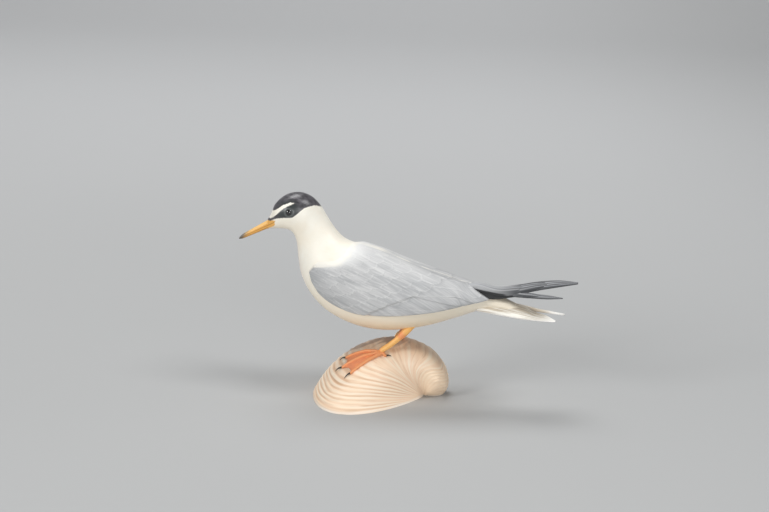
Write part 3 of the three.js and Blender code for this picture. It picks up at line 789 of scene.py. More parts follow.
@dataclass(frozen=True)
class BillPaint:
    """Yellow-orange bill, lighter along its top, with a dusky tip and a brown line at the gape."""

    yellow: Colour = tint(231, 172, 86)
    light: Colour = tint(243, 196, 120)
    brown: Colour = tint(176, 120, 56)
    brown_and_shadow: Colour = tint(96, 89, 78)
    # Heights on the bill, from -1 to 1, and the share of its length where the tip darkens.
    gape_height: float = -0.12
    gape_reach: Band = (0.22, 0.05)
    light_heights: Band = (0.2, 0.9)
    brown_heights: Band = (-0.35, -0.95)
    tip_start: Band = (0.50, 0.88)

    def material(self) -> Material:
        """Returns the material."""
        g = PaintGraph("bill_paint", 0.25, 0.25)
        along, height = g.attribute("along"), g.attribute("across")
        strokes = g.grain(g.x * 90.0, height * 4.0, 0.0, 3.0)
        gape = g.smooth(*self.gape_reach, g.math("ABSOLUTE", height - self.gape_height))
        colour = g.layered(
            self.yellow,
            (g.smooth(*self.light_heights, height), self.light),
            (g.smooth(*self.brown_heights, height) * 0.6, self.brown),
            (gape * 0.55, self.brown),
            (g.smooth(0.6, 0.8, strokes) * 0.35, self.light),
            (g.smooth(*self.tip_start, along + height * 0.05 + (strokes - 0.5) * 0.25), self.brown_and_shadow),
        )
        return g.finish(colour, 0.38, strokes, 0.00008)


@dataclass(frozen=True)
class EyeGlass:
    """Polished glass with a very dark brown iris round a black pupil."""

    iris: Colour = tint(20, 16, 14)
    pupil: Colour = tint(3, 3, 4)
    iris_start: Band = (0.55, 0.75)
    gloss: float = 1.8

    def material(self) -> Material:
        """Returns the material."""
        g = PaintGraph("eye_glass_dark", 1.0, 0.02)
        flecks = g.noise(g.place, 2500.0, 2.0)
        iris = g.smooth(*self.iris_start, g.attribute("out")) * flecks
        g.feed(g.shader.inputs["Specular IOR Level"], 0.0)
        g.feed(g.shader.inputs["Coat IOR"], self.gloss)
        return g.finish(g.mix(iris, self.pupil, self.iris), 0.06)


@dataclass(frozen=True)
class LegPaint:
    """Yellow-orange shanks, red-orange knees, feet and webs, and near-black claws."""

    yellow: Colour = tint(255, 194, 112)
    orange: Colour = tint(240, 150, 102)
    web: Colour = tint(229, 145, 104)
    claw: Colour = tint(46, 42, 38)
    # Shares of the shank's length.
    knee_start: Band = (0.16, 0.30)
    knee_end: Band = (0.52, 0.38)
    ankle_start: Band = (0.80, 0.97)
    # Between the values that mark shank, toe, web and claw.
    after_shank: Band = (0.4, 0.6)
    before_web: Band = (1.4, 1.1)
    before_claw: Band = (2.6, 2.9)

    def material(self) -> Material:
        """Returns the material."""
        g = PaintGraph("leg_and_foot_paint", 0.15, 0.3)
        kind, along = g.attribute("kind"), g.attribute("along")
        cloud = g.noise(g.place, 300.0, 3.0)
        scales = g.noise(g.place, 1400.0, 2.0)
        knee = g.smooth(*self.knee_start, along) * g.smooth(*self.knee_end, along)
        ankle = g.smooth(*self.ankle_start, along) * 0.5
        shank = g.layered(self.yellow, (knee * 0.8, self.orange), (ankle, self.orange))
        toe = g.smooth(*self.before_web, kind) * 0.22
        foot = g.layered(self.web, (g.smooth(0.35, 0.7, cloud), self.orange), (toe, self.yellow))
        colour = g.layered(
            shank,
            (g.smooth(*self.after_shank, kind), foot),
            (g.smooth(0.55, 0.85, cloud) * 0.25, self.yellow),
            (g.smooth(*self.before_claw, kind), self.claw),
        )
        return g.finish(colour, 0.42 + cloud * 0.1, scales, 0.00010)


@dataclass(frozen=True)
class ShellPaint:
    """Cream ridges over tan and pink-brown valleys, with a painted highlight on the crests and painted
    shade in the grooves, peach in patches, brown lines and the bird's painted shadow at the top, and
    painted light on the beak.
    """

    cream: Colour = tint(250, 224, 195)
    crest: Colour = tint(253, 239, 218)
    tan_and_shade: Colour = tint(208, 166, 130)
    peach: Colour = tint(250, 219, 189)
    brown_and_shadow: Colour = tint(140, 118, 106)
    lip: Colour = tint(254, 249, 240)
    beak_painted_light: Colour = tint(255, 231, 201)
    # Shares of the growth from the margin to the beak, and of the way round a growth line.
    quiet_start: Band = (0.38, 0.44)
    brown_and_shadow_start: Band = (0.30, 0.44)
    brown_and_shadow_end: Band = (0.74, 0.56)
    beak_painted_light_start: Band = (0.56, 0.68)
    quiet_around: Band = (0.02, 0.20)
    brown_and_shadow_around: Band = (0.34, 0.44)
    # Places, in metres.
    lines_end: Band = (0.03, 0.005)
    lip_heights: Band = (0.0016, 0.0008)
    shade_heights: Band = (0.0030, 0.0018)
    shade_end: Band = (0.0, -0.012)

    def material(self) -> Material:
        """Returns the material."""
        g = PaintGraph("shell_paint", 0.08, 0.4)
        ridge, growth, line, around = (g.attribute(name) for name in ("ridge", "growth", "line", "around"))
        cloud = g.noise(g.place, 38.0, 3.0)
        fine = g.grain(line * 2.6, around * 7.0, 0.0, 3.0)
        stroke = g.grain(line * 0.9, around * 5.0, 3.0, 2.0)
        grain = g.grain(g.x * 30.0, g.y * 60.0, (g.z - g.x * 0.45) * 420.0, 2.0)
        strong = g.smooth(0.30, 0.62, stroke)
        quiet = g.smooth(*self.quiet_around, around) * (1.0 - g.smooth(*self.quiet_start, growth) * 0.55)
        # Brown lines and the bird's painted shadow at the top of the shell.
        brown_and_shadow_mask = g.smooth(*self.brown_and_shadow_around, around + (cloud - 0.5) * 0.03)
        brown_and_shadow_mask = brown_and_shadow_mask * g.smooth(*self.brown_and_shadow_start, growth) * g.smooth(*self.brown_and_shadow_end, growth)
        lines = g.smooth(0.56, 0.42, grain) * g.smooth(*self.lines_end, g.x)
        shade = g.smooth(*self.shade_heights, g.z) * g.smooth(*self.shade_end, g.x)
        lip = g.smooth(*self.lip_heights, g.z + (fine - 0.5) * 0.0010)
        colour = g.layered(
            self.cream,
            (g.smooth(0.35, 0.65, cloud), self.peach),
            # tan paint and painted shade in the grooves
            (g.smooth(0.5, 0.0, ridge) * (0.05 + strong * 0.62) * quiet, self.tan_and_shade),
            (g.smooth(0.48, 0.30, fine) * 0.5, self.tan_and_shade),
            # pale paint and a painted highlight on the crests
            (g.smooth(0.35, 0.85, ridge) * (0.3 + strong * 0.5), self.crest),
            # brown lines and the bird's painted shadow
            (brown_and_shadow_mask * (0.34 + lines * 0.45), self.brown_and_shadow),
            # painted light on the beak
            (g.smooth(*self.beak_painted_light_start, growth) * 0.6, self.beak_painted_light),
            (shade * 0.3, self.tan_and_shade),
            (lip * (0.2 + strong * 0.5), self.lip),
        )
        return g.finish(colour, 0.52 + (fine - 0.5) * 0.1, fine, 0.00016)


@dataclass(frozen=True)
class HeadTurn:
    """The head and upper neck turn a little to the bird's left."""

    degrees: float = 12.0
    pivot_x: float = -48.0

    def turned(self, points: np.ndarray, share: Amount) -> np.ndarray:
        """Turns points about the upright through the pivot.

        Args:
            points: the points.
            share: their share of the full angle.

        Returns:
            The turned points.
        """
        angle = np.radians(self.degrees) * share
        dx = points[..., 0] - self.pivot_x
        x = self.pivot_x + dx * np.cos(angle) - points[..., 1] * np.sin(angle)
        y = dx * np.sin(angle) + points[..., 1] * np.cos(angle)
        return np.stack([x, y, points[..., 2]], -1)


@dataclass(frozen=True)
class Eye:
    """Where each eye lies before the head's turn, its size, and the rings of its mesh."""

    x: float = -61.5
    y: float = 9.6
    z: float = 125.0
    radius: float = 2.9
    rings: int = 25
    sides: int = 32
    # The angle between the ball's axis and its first ring.
    first_ring: float = 0.02

    def centre(self, side: int, turn: HeadTurn) -> np.ndarray:
        """Returns the centre of one eye on the turned head."""
        return turn.turned(np.array([self.x, side * self.y, self.z]), 1.0)


@dataclass(frozen=True)
class BirdBody:
    """The body, neck and head: ribs of upper x and z, lower x and z, half width, fullness."""

    ribs: Rows = (
        (-76.5, 118.0, -76.3, 111.8, 2.6, 2.0),
        (-74.2, 121.8, -73.0, 112.2, 6.0, 2.0),
        (-71.2, 128.6, -68.6, 112.2, 9.4, 2.1),
        (-64.2, 134.4, -64.6, 112.0, 11.4, 2.2),
        (-55.7, 136.3, -61.0, 110.6, 12.0, 2.2),
        (-47.5, 133.6, -58.6, 107.2, 11.8, 2.2),
        (-41.6, 127.8, -57.2, 102.2, 11.2, 2.1),
        (-37.0, 120.4, -56.6, 96.2, 11.4, 2.1),
        (-32.0, 112.8, -55.8, 89.5, 13.2, 2.1),
        (-24.8, 105.6, -53.4, 80.4, 17.4, 2.2),
        (-13.5, 102.0, -46.0, 67.6, 21.8, 2.2),
        (0.0, 98.6, -34.0, 56.8, 24.0, 2.2),
        (15.0, 93.4, -15.0, 48.9, 24.2, 2.2),
        (32.0, 87.4, 6.0, 46.8, 22.6, 2.1),
        (48.0, 82.6, 30.0, 50.7, 18.4, 2.0),
        (61.0, 80.2, 52.0, 58.0, 12.6, 2.0),
        (75.0, 76.4, 68.0, 63.8, 8.6, 2.0),
        (88.0, 70.2, 84.0, 65.0, 6.6, 2.0),
        (100.0, 66.4, 99.4, 65.4, 2.4, 2.0),
    )
    head_ribs: int = 8
    head_steps: int = 11
    body_steps: int = 5
    sides: int = 136
    # The ribs between which the head's turn dies away.
    turn_end: Band = (5.0, 9.0)
    # Outlines of the paint on the head in side view, before the turn.
    cap: Rows = (
        (-78.0, 117.6), (-74.2, 118.0), (-71.2, 120.1), (-68.5, 120.9), (-64.4, 121.5), (-60.8, 121.6),
        (-58.8, 122.1), (-56.7, 123.8), (-54.7, 125.6), (-51.8, 127.7), (-48.8, 128.7), (-45.9, 129.0),
        (-43.6, 128.6), (-41.8, 127.6), (-39.8, 126.2), (-34.0, 126.0), (-34.0, 140.0), (-78.0, 140.0),
    )
    blaze: Rows = (
        (-78.0, 119.0), (-74.4, 119.5), (-71.7, 121.5), (-69.6, 123.4), (-66.4, 126.7), (-62.4, 129.1),
        (-57.4, 131.2), (-60.9, 131.5), (-65.5, 129.6), (-68.5, 127.4), (-71.3, 125.5), (-73.0, 124.8),
        (-78.0, 124.2),
    )
    gape: Rows = (
        (-80.0, 119.6), (-74.8, 118.3), (-72.9, 118.8), (-70.6, 118.9), (-71.4, 117.6), (-71.3, 116.6),
        (-71.1, 115.8), (-72.3, 114.4), (-74.2, 113.2), (-80.0, 111.0),
    )
    mouth: Rows = ((-80.0, 112.2), (-76.4, 114.3), (-73.4, 116.4), (-70.6, 118.4))
    lid_radius: float = 2.75
    lid_height: float = 0.34
    lid_width: float = 0.42
    # The shares of a rib's half width between which the lids set in.
    lid_start: Band = (0.3, 0.8)
    least_half_width: float = 0.1
    # The distance from the eye that the paint reads near the middle of the head.
    far_from_eye: float = 20.0

    def skin(self, turn: HeadTurn, eye: Eye) -> Skin:
        """Makes the body's skin, with raised lids round its eyes.

        Args:
            turn: the head's turn.
            eye: where the eyes lie.

        Returns:
            The skin.
        """
        head = np.linspace(0, self.head_ribs, self.head_ribs * self.head_steps, endpoint=False)
        rest = self.head_ribs + along_rows(self.ribs[self.head_ribs:], self.body_steps)
        t = np.concatenate([head, rest])
        ribs = row_at(self.ribs, t)
        points = rib_point(ribs, circle(self.sides))
        x, y, z = np.moveaxis(points, -1, 0)
        away = np.hypot(x - eye.x, z - eye.z)
        outwards = np.abs(y) / np.maximum(ribs[:, None, 4], self.least_half_width)
        facing = smooth(*self.lid_start, outwards)
        lid = self.lid_height * bell(away, self.lid_radius, self.lid_width)
        points[..., 1] += np.sign(y) * lid * facing
        outlines = {"cap": self.cap, "blaze": self.blaze, "gape": self.gape}
        paint = {name: depth_inside(outline, x, z) for name, outline in outlines.items()}
        paint["mouth"] = nearest_on(self.mouth, x, z)[0]
        paint["eye"] = np.where(facing > 0, away, self.far_from_eye)
        share = 1 - smooth(*self.turn_end, t)
        return Skin(turn.turned(points, share[:, None]), Coat.BODY, paint)


@dataclass(frozen=True)
class Bill:
    """The bill: x, upper z, lower z and half width before the head's turn."""

    ribs: Rows = (
        (-71.0, 119.0, 112.0, 3.0),
        (-76.4, 117.4, 111.6, 2.6),
        (-83.0, 113.7, 109.0, 2.0),
        (-89.6, 109.9, 106.2, 1.5),
        (-93.4, 107.6, 104.7, 0.9),
        (-95.8, 105.2, 104.4, 0.25),
    )
    fullness: float = 2.0
    steps: int = 10
    sides: int = 40
    least_half_width: float = 0.2
    gape_place: float = -0.12
    gape_width: float = 0.07
    gape_depth: float = 0.16
    # The half width from which the groove has its full depth.
    gape_full: float = 0.6

    def skin(self, turn: HeadTurn) -> Skin:
        """Makes the bill's skin, with a groove between its two halves.

        Args:
            turn: the head's turn.

        Returns:
            The skin.
        """
        t = along_rows(self.ribs, self.steps)
        x, top, low, half = row_at(self.ribs, t).T
        half = np.maximum(half, self.least_half_width)
        ribs = np.stack([x, top, x, low, half, np.full_like(x, self.fullness)], -1)
        angle = circle(self.sides)
        height = np.cos(angle)
        groove = self.gape_depth * bell(height, self.gape_place, self.gape_width)
        points = rib_point(ribs, angle)
        points[..., 1] *= 1 - groove * smooth(0, self.gape_full, half)[:, None]
        values = {"along": (t / t[-1])[:, None], "across": height}
        return Skin(turn.turned(points, 1.0), Coat.BILL, values)


@dataclass(frozen=True)
class Feather:
    """One feather on the flattened wing, given by its tip.

    The angle is how far it points below the tail's direction. The rise lifts its tip,
    the crown its middle and the tilt its lower edge.
    """

    x: float
    z: float
    angle: float
    length: float
    half_width: float
    rise: float
    crown: float
    tilt: float
    tone: float


@dataclass
class Plumage:
    """Feathers laid one over the other on the flattened wing."""

    feathers: list[Feather] = field(default_factory=list)
    tip_roundness: float = 1.35
    # How far a feather's edge counts beside it, and the distance in from an edge where none is.
    open: float = 9.0
    bare_edge: float = 2.0
    # A feather of this rise casts painted shadow over its own distance.
    full_rise: float = 0.42

    def lay(self, x: np.ndarray, z: np.ndarray) -> dict[str, np.ndarray]:
        """Lays the feathers in order, each over those before it.

        Args:
            x: places on the flattened wing.
            z: heights on the flattened wing.

        Returns:
            For each place the feather's height, its tone, the distance in from its edge,
            and the distance out from the next higher feather's edge, where the paint lays painted shadow.
        """
        laid = {key: np.zeros(x.shape) for key in ("height", "tone", "edge", "lee")}
        laid["edge"] += self.bare_edge
        laid["lee"] += self.open
        for f in self.feathers:
            along = np.array([math.cos(f.angle), -math.sin(f.angle)])
            back = -((x - f.x) * along[0] + (z - f.z) * along[1])
            across = -(x - f.x) * along[1] + (z - f.z) * along[0]
            reach = self.tip_roundness * f.half_width
            ahead = np.clip(1 - back / reach, 0, None)
            edge = f.half_width * (1 - np.hypot(ahead, across / f.half_width))
            inside = (edge > 0) & (back < f.length) & (back > -1e-6)
            share = across / f.half_width
            height = f.rise * (1 - back / f.length) + f.crown * (1 - share**2)
            height = height + f.tilt * (0.5 - 0.5 * share)
            beside = (back < f.length) & (back > -self.open)
            lee = np.minimum(laid["lee"], np.abs(edge) * self.full_rise / f.rise)
            laid["lee"] = np.where(inside, self.open, np.where(beside, lee, laid["lee"]))
            for key, value in (("height", height), ("edge", edge), ("tone", f.tone)):
                laid[key] = np.where(inside, value, laid[key])
        return laid


@dataclass(frozen=True)
class FoldedWing:
    """One folded wing: ribs as on the body, and side-view lines of its edges."""

    ribs: Rows = (
        (-24.8, 106.0, -53.8, 80.2, 18.6, 2.2),
        (-13.5, 103.6, -46.5, 67.0, 23.3, 2.2),
        (0.0, 100.2, -34.0, 56.0, 25.6, 2.2),
        (14.0, 95.2, -15.0, 48.3, 26.0, 2.2),
        (28.0, 90.8, 6.0, 46.2, 25.3, 2.15),
        (42.0, 86.5, 28.0, 49.0, 22.8, 2.1),
        (53.5, 83.4, 48.0, 56.5, 19.0, 2.0),
        (57.5, 82.3, 65.0, 62.0, 14.6, 1.9),
        (60.5, 81.6, 85.0, 68.2, 10.8, 1.8),
    )
    lower_edge: Rows = (
        (-47.5, 91.5), (-44.4, 85.5), (-41.8, 79.2), (-34.5, 71.2), (-25.4, 65.8), (-14.9, 62.7),
        (-2.6, 61.3), (15.4, 61.9), (38.7, 64.9), (53.6, 68.1), (68.5, 71.6), (77.5, 74.6),
    )
    front: Rows = (
        (-38.5, 75.0), (-42.6, 80.5), (-44.4, 86.8), (-41.0, 90.3), (-33.9, 91.2), (-25.6, 92.6),
        (-19.6, 95.8), (-16.8, 99.5), (-14.5, 106.0),
    )
    covert_edge: Rows = (
        (-8.0, 59.5), (0.5, 64.4), (12.5, 70.0), (26.8, 75.7), (42.2, 83.3), (50.0, 88.0),
    )
    tertial_edge: Rows = ((20.0, 77.6), (26.9, 75.9), (37.8, 73.6), (51.7, 70.5), (62.0, 69.0))
    # Long feathers from the lowest to the highest: root x and z, tip x and z, half width.
    long_feathers: Rows = (
        (-8.0, 60.0, 17.0, 60.6, 3.4),
        (-2.0, 63.0, 31.0, 62.6, 4.2),
        (5.0, 67.0, 45.0, 64.6, 4.8),
        (12.0, 71.5, 58.0, 67.6, 5.0),
        (22.0, 80.6, 79.0, 72.6, 5.6),
        (30.0, 85.0, 71.0, 77.6, 4.4),
        (34.0, 88.5, 64.0, 81.0, 4.0),
    )
    steps: int = 22
    across: int = 108
    inner_across: int = 8
    edge_steps: int = 4
    thickness: float = 3.6
    end_thickness: float = 2.6
    thinning_start: float = 0.55
    sink: float = 0.13
    wrist_blend: float = 1.6
    mantle_blend: float = 6.0
    mantle_low_z: float = 91.0
    # How much longer the wing takes to leave the body than its blend.
    blend_length: float = 1.5
    seam_depth: float = 1.0
    seam_start: Band = (-8.0, 30.0)
    seam_angle: float = 0.35
    covert_step: float = 0.7
    tertial_step: float = 0.5
    step_blend: float = 0.45
    rim_width: float = 1.3
    rim_depth: float = 0.7
    rim_roundness: float = 0.96
    overlap: float = 0.05
    # The feathers' height that lies level with the bare wing, and how far in they set in.
    level: float = 0.3
    relief_start: Band = (-2.0, 12.0)
    # How far feathers fall below the tail's direction, and how much more at the wing's front.
    fall_degrees: float = 17.0
    front_fall_degrees: float = 25.0
    front_fall_x: Band = (20.0, -38.0)
    front_fall_z: Band = (96.0, 66.0)
    mean_fall: float = 24.0
    # Rise, crown and tilt of the long feathers, and the span of their tones.
    long_relief: tuple[float, float, float] = (0.12, 0.14, 0.34)
    long_tones: Band = (0.2, 0.9)
    # The coverts lie in rows, each so far behind the one before.
    row_pitch: float = 8.0
    row_spacing: tuple[float, ...] = (0.0, 11.0, 10.5, 10.0, 9.5, 9.0, 8.5, 8.0, 8.0)
    row_places: int = 60
    row_shrink: float = 0.045
    least_size: float = 0.7
    covert_length: float = 22.0
    covert_width: float = 0.62
    covert_widths: Band = (0.9, 1.12)
    covert_crown: float = 0.10
    covert_tilt: float = 0.06
    first_rise: float = 0.45
    later_rise: float = 0.10
    angle_chance: float = 0.06
    slip_chance: float = 1.0
    seed: int = 7

    def edge_angle(self, rib: np.ndarray) -> float:
        """Finds where a rib meets the wing's lower edge.

        Args:
            rib: the rib.

        Returns:
            The angle on the rib.
        """
        top_x, top_z, low_x, low_z, _, fullness = rib
        edge = row_at(self.lower_edge, along_rows(self.lower_edge, self.edge_steps))
        for (ax, az), (bx, bz) in zip(edge[:-1], edge[1:]):
            det = (low_x - top_x) * (az - bz) - (low_z - top_z) * (ax - bx)
            share = ((ax - top_x) * (az - bz) - (az - top_z) * (ax - bx)) / det
            along = ((low_x - top_x) * (az - top_z) - (low_z - top_z) * (ax - top_x)) / det
            if 0 <= along <= 1 and 0 < share < 1:
                return float(np.arccos(signed_power(1 - 2 * share, fullness / 2)))
        return math.pi / 2

    def flow(self, x: np.ndarray, z: np.ndarray) -> np.ndarray:
        """Returns how far feathers point below the tail's direction on the flattened wing."""
        steep = smooth(*self.front_fall_x, x) * smooth(*self.front_fall_z, z)
        return np.radians(self.fall_degrees + self.front_fall_degrees * steep)

    def plumage(self, side_x: np.ndarray, side_z: np.ndarray, flat: np.ndarray) -> Plumage:
        """Lays out the wing's feathers.

        Args:
            side_x: the wing points' places in side view.
            side_z: their heights in side view.
            flat: their places on the flattened wing.

        Returns:
            The plumage, from the lowest feather to the highest.
        """
        chance = np.random.default_rng(self.seed)

        def flattened(x: float, z: float) -> np.ndarray:
            """Returns the flattened place nearest to a side-view point."""
            near = np.argmin((side_x - x) ** 2 + (side_z - z) ** 2)
            return flat.reshape(-1, 2)[near]

        laid: list[Feather] = []
        for root_x, root_z, tip_x, tip_z, half_width in self.long_feathers:
            tip = flattened(tip_x, tip_z)
            run = tip - flattened(root_x, root_z)
            angle = -math.atan2(run[1], run[0])
            tone = chance.uniform(*self.long_tones)
            length = float(np.hypot(*run))
            laid.append(Feather(tip[0], tip[1], angle, length, half_width, *self.long_relief, tone))
        places = np.linspace(0, len(self.covert_edge) - 1, self.row_places)
        line = np.array([flattened(x, z) for x, z in row_at(self.covert_edge, places)])
        steps = np.hypot(*np.diff(line, axis=0).T)
        run = np.concatenate([[0], np.cumsum(steps)])
        walked = 0.0
        for row, spacing in enumerate(self.row_spacing):
            walked += spacing
            first = -self.row_pitch * (row % 2) / 2
            starts = np.arange(first, run[-1] + self.row_pitch, self.row_pitch)
            x = np.interp(starts, run, line[:, 0])
            z = np.interp(starts, run, line[:, 1])
            for _ in range(int(round(walked))):
                angle = self.flow(x, z)
                x, z = x - np.cos(angle), z + np.sin(angle)
            size = max(self.least_size, 1 - self.row_shrink * row)
            rise = self.first_rise if row == 0 else self.later_rise * size
            length = self.covert_length * size
            for place_x, place_z in zip(x, z):
                angle = float(self.flow(place_x, place_z)) + chance.normal(0, self.angle_chance)
                slip = chance.normal(0, self.slip_chance)
                half = self.covert_width * self.row_pitch * size * chance.uniform(*self.covert_widths)
                tone = chance.uniform(0, 1)
                tip_x, tip_z = place_x + slip * math.cos(angle), place_z - slip * math.sin(angle)
                relief = (rise, self.covert_crown, self.covert_tilt)
                laid.append(Feather(tip_x, tip_z, angle, length, half, *relief, tone))
        return Plumage(laid)

    def step_over(self, edge: Rows, x: np.ndarray, z: np.ndarray) -> np.ndarray:
        """Returns 1 on the upper side of a group of feathers' edge and 0 beyond it."""
        return smooth(-self.step_blend, self.step_blend, -nearest_on(edge, x, z)[1])

    def skin(self, side: int) -> Skin:
        """Makes one wing's skin: carved outside, plain inside where it lies on the body.

        Args:
            side: -1 for the left, 1 for the right.

        Returns:
            The skin.
        """
        t = along_rows(self.ribs, self.steps)
        ribs = row_at(self.ribs, t)
        ends = np.array([self.edge_angle(rib) for rib in ribs])[:, None]
        angle = ends * np.linspace(0, 1, self.across + 1)[None, :]
        bare = rib_point(ribs, angle)
        x, z = bare[..., 0], bare[..., 2]
        arc = np.cumsum(np.linalg.norm(np.diff(bare, axis=1, prepend=bare[:, :1]), axis=-1), axis=1)
        down = ribs[:, 2:4] - ribs[:, 0:2]
        length = np.linalg.norm(down, axis=1)
        flat = ribs[:, None, 0:2] + arc[..., None] * (down / length[:, None])[:, None]
        flat_x, flat_z = flat[..., 0], flat[..., 1]
        laid = self.plumage(x, z, flat).lay(flat_x, flat_z)
        inside = nearest_on(self.front, x, z)[1]
        above = arc[:, -1:] - arc
        coverts = self.covert_step * self.step_over(self.covert_edge, x, z)
        tertials = self.tertial_step * self.step_over(self.tertial_edge, x, z)
        relief = np.maximum(coverts, tertials)
        relief = relief + (laid["height"] - self.level) * smooth(*self.relief_start, inside)
        rim = np.clip(1 - above / self.rim_width, 0, 1)
        relief = relief - self.rim_depth * (1 - np.sqrt(1 - rim**2 * self.rim_roundness))
        thin = smooth(self.thinning_start, 1, t / t[-1])
        thickness = self.thickness + (self.end_thickness - self.thickness) * thin
        back = ends * np.linspace(1, 0, self.inner_across)[None, :]
        hidden = self.raised(ribs, back, -thickness[:, None])
        rings = np.concatenate([self.raised(ribs, angle, relief), hidden], 1)
        rings[..., 1] = side * (rings[..., 1] - self.overlap)
        fall = math.radians(self.mean_fall)
        values = {
            "mantle": inside,
            "above": above,
            "down": arc,
            "run": flat_x * math.cos(fall) - flat_z * math.sin(fall),
            "fall": flat_x * math.sin(fall) + flat_z * math.cos(fall),
            **{key: laid[key] for key in ("edge", "tone", "lee")},
        }
        spare = ((0, 0), (0, self.inner_across))
        padded = {key: np.pad(value, spare, mode="edge") for key, value in values.items()}
        return Skin(rings, Coat.WING, padded)

    def raised(self, ribs: np.ndarray, angle: np.ndarray, rise: np.ndarray) -> np.ndarray:
        """Places points over the ribs, sunk into the body in front and along the seam.

        Args:
            ribs: the ribs.
            angle: each point's angle on its rib.
            rise: each point's height over the bare wing.

        Returns:
            The points.
        """
        bare = rib_point(ribs, angle)
        x, z = bare[..., 0], bare[..., 2]
        inside = nearest_on(self.front, x, z)[1]
        blend = np.where(z > self.mantle_low_z, self.mantle_blend, self.wrist_blend)
        sink = self.sink * (1 - smooth(0, self.blend_length * blend, inside + blend))
        seam = self.seam_depth * smooth(*self.seam_start, x)
        seam = seam * smooth(self.seam_angle, 0, angle)
        radius = np.hypot(ribs[:, 0] - ribs[:, 2], ribs[:, 1] - ribs[:, 3])[:, None] / 2
        return rib_point(ribs, angle, 1 - sink + (rise - seam) / radius)


@dataclass(frozen=True)
class FlightFeathers:
    """The crossed wingtips: x, y, z, half width, thickness and roll in degrees."""

    upper: Rows = (
        (54.0, -2.4, 77.0, 3.8, 4.0, 8.0),
        (66.0, -2.6, 78.9, 5.0, 5.2, 14.0),
        (79.0, -2.6, 77.7, 5.0, 3.4, 26.0),
        (91.0, 0.4, 78.5, 4.8, 2.4, 30.0),
        (105.0, 4.6, 80.9, 4.1, 1.5, 33.0),
        (118.0, 7.6, 82.4, 3.0, 1.2, 34.0),
        (130.0, 9.6, 83.0, 0.8, 0.6, 34.0),
    )
    lower: Rows = (
        (54.0, 4.0, 74.6, 4.0, 4.0, -24.0),
        (66.0, 4.2, 75.2, 4.4, 3.8, -22.0),
        (79.0, 3.0, 75.4, 4.5, 3.4, -14.0),
        (91.0, -0.8, 75.5, 4.0, 2.4, 0.0),
        (104.0, -4.9, 76.4, 3.2, 1.5, 10.0),
        (114.0, -7.4, 76.9, 2.3, 1.1, 14.0),
        (123.2, -9.4, 77.4, 0.5, 0.6, 14.0),
    )
    outer: Rows = (
        (58.0, -6.0, 77.4, 3.0, 2.6, 50.0),
        (70.0, -6.6, 76.4, 3.4, 2.4, 50.0),
        (80.0, -5.2, 75.6, 3.0, 2.0, 42.0),
        (89.0, -3.0, 75.5, 2.0, 1.6, 20.0),
        (97.0, -2.2, 75.8, 0.9, 1.0, 0.0),
    )
    # The shorter feathers stacked on each tip: start, end, lift and width share.
    shorter: Rows = ((1.0, 5.0, 0.6, 0.84), (0.5, 4.0, 1.1, 0.7))
    longest_tone: float = 0.8
    steps: int = 9
    half_section: int = 13
    section_power: float = 2.4
    shaft_place: float = -0.25
    shaft_height: float = 0.16
    shaft_width: float = 0.09
    taper: float = 0.35
    least: float = 0.03

    def feather(
        self,
        path: Rows,
        tone: float,
        start: float = 0.0,
        end: Optional[float] = None,
        lift: float = 0.0,
        share: float = 1.0,
    ) -> Skin:
        """Returns one long feather.

        Args:
            path: the tip's path.
            tone: 0 for black, 1 for grey.
            start: where on the path the feather starts.
            end: where it ends, or None for the end of the path.
            lift: how far it lies above the path.
            share: its share of the path's width.

        Returns:
            The feather's skin.
        """
        last = len(path) - 1 if end is None else end
        count = int(round((last - start) * self.steps))
        t = np.linspace(start, last, count + 1)
        x, y, z, half, thick, roll = (column[:, None] for column in row_at(path, t).T)
        lean = np.radians(roll)
        left = smooth(0, self.taper, 1 - np.arange(count + 1) / count + self.least)[:, None]
        taper = np.ones_like(left) if end is None else left
        across = np.sin(np.linspace(-math.pi / 2, math.pi / 2, self.half_section))
        lens = 0.5 * np.sqrt(np.clip(1 - np.abs(across) ** self.section_power, 0, None))
        shaft = self.shaft_height * bell(across, self.shaft_place, self.shaft_width)
        section = np.concatenate([across, across[-2:0:-1]])[None, :]
        up = np.concatenate([lens + shaft, -lens[-2:0:-1]])[None, :]
        a = section * half * share * taper
        b = (up * thick + lift) * taper
        ring = (x, y + a * np.cos(lean) - b * np.sin(lean), z + a * np.sin(lean) + b * np.cos(lean))
        rings = np.stack(np.broadcast_arrays(*ring), -1)
        return Skin(rings, Coat.PRIMARY, {"across": section, "tone": tone})

    def skins(self) -> list[Skin]:
        """Returns every feather of both wingtips."""
        made = [self.feather(self.outer, 0.0)]
        for path in (self.lower, self.upper):
            made.append(self.feather(path, self.longest_tone))
            made.extend(self.feather(path, 1.0, *row) for row in self.shorter)
        return made


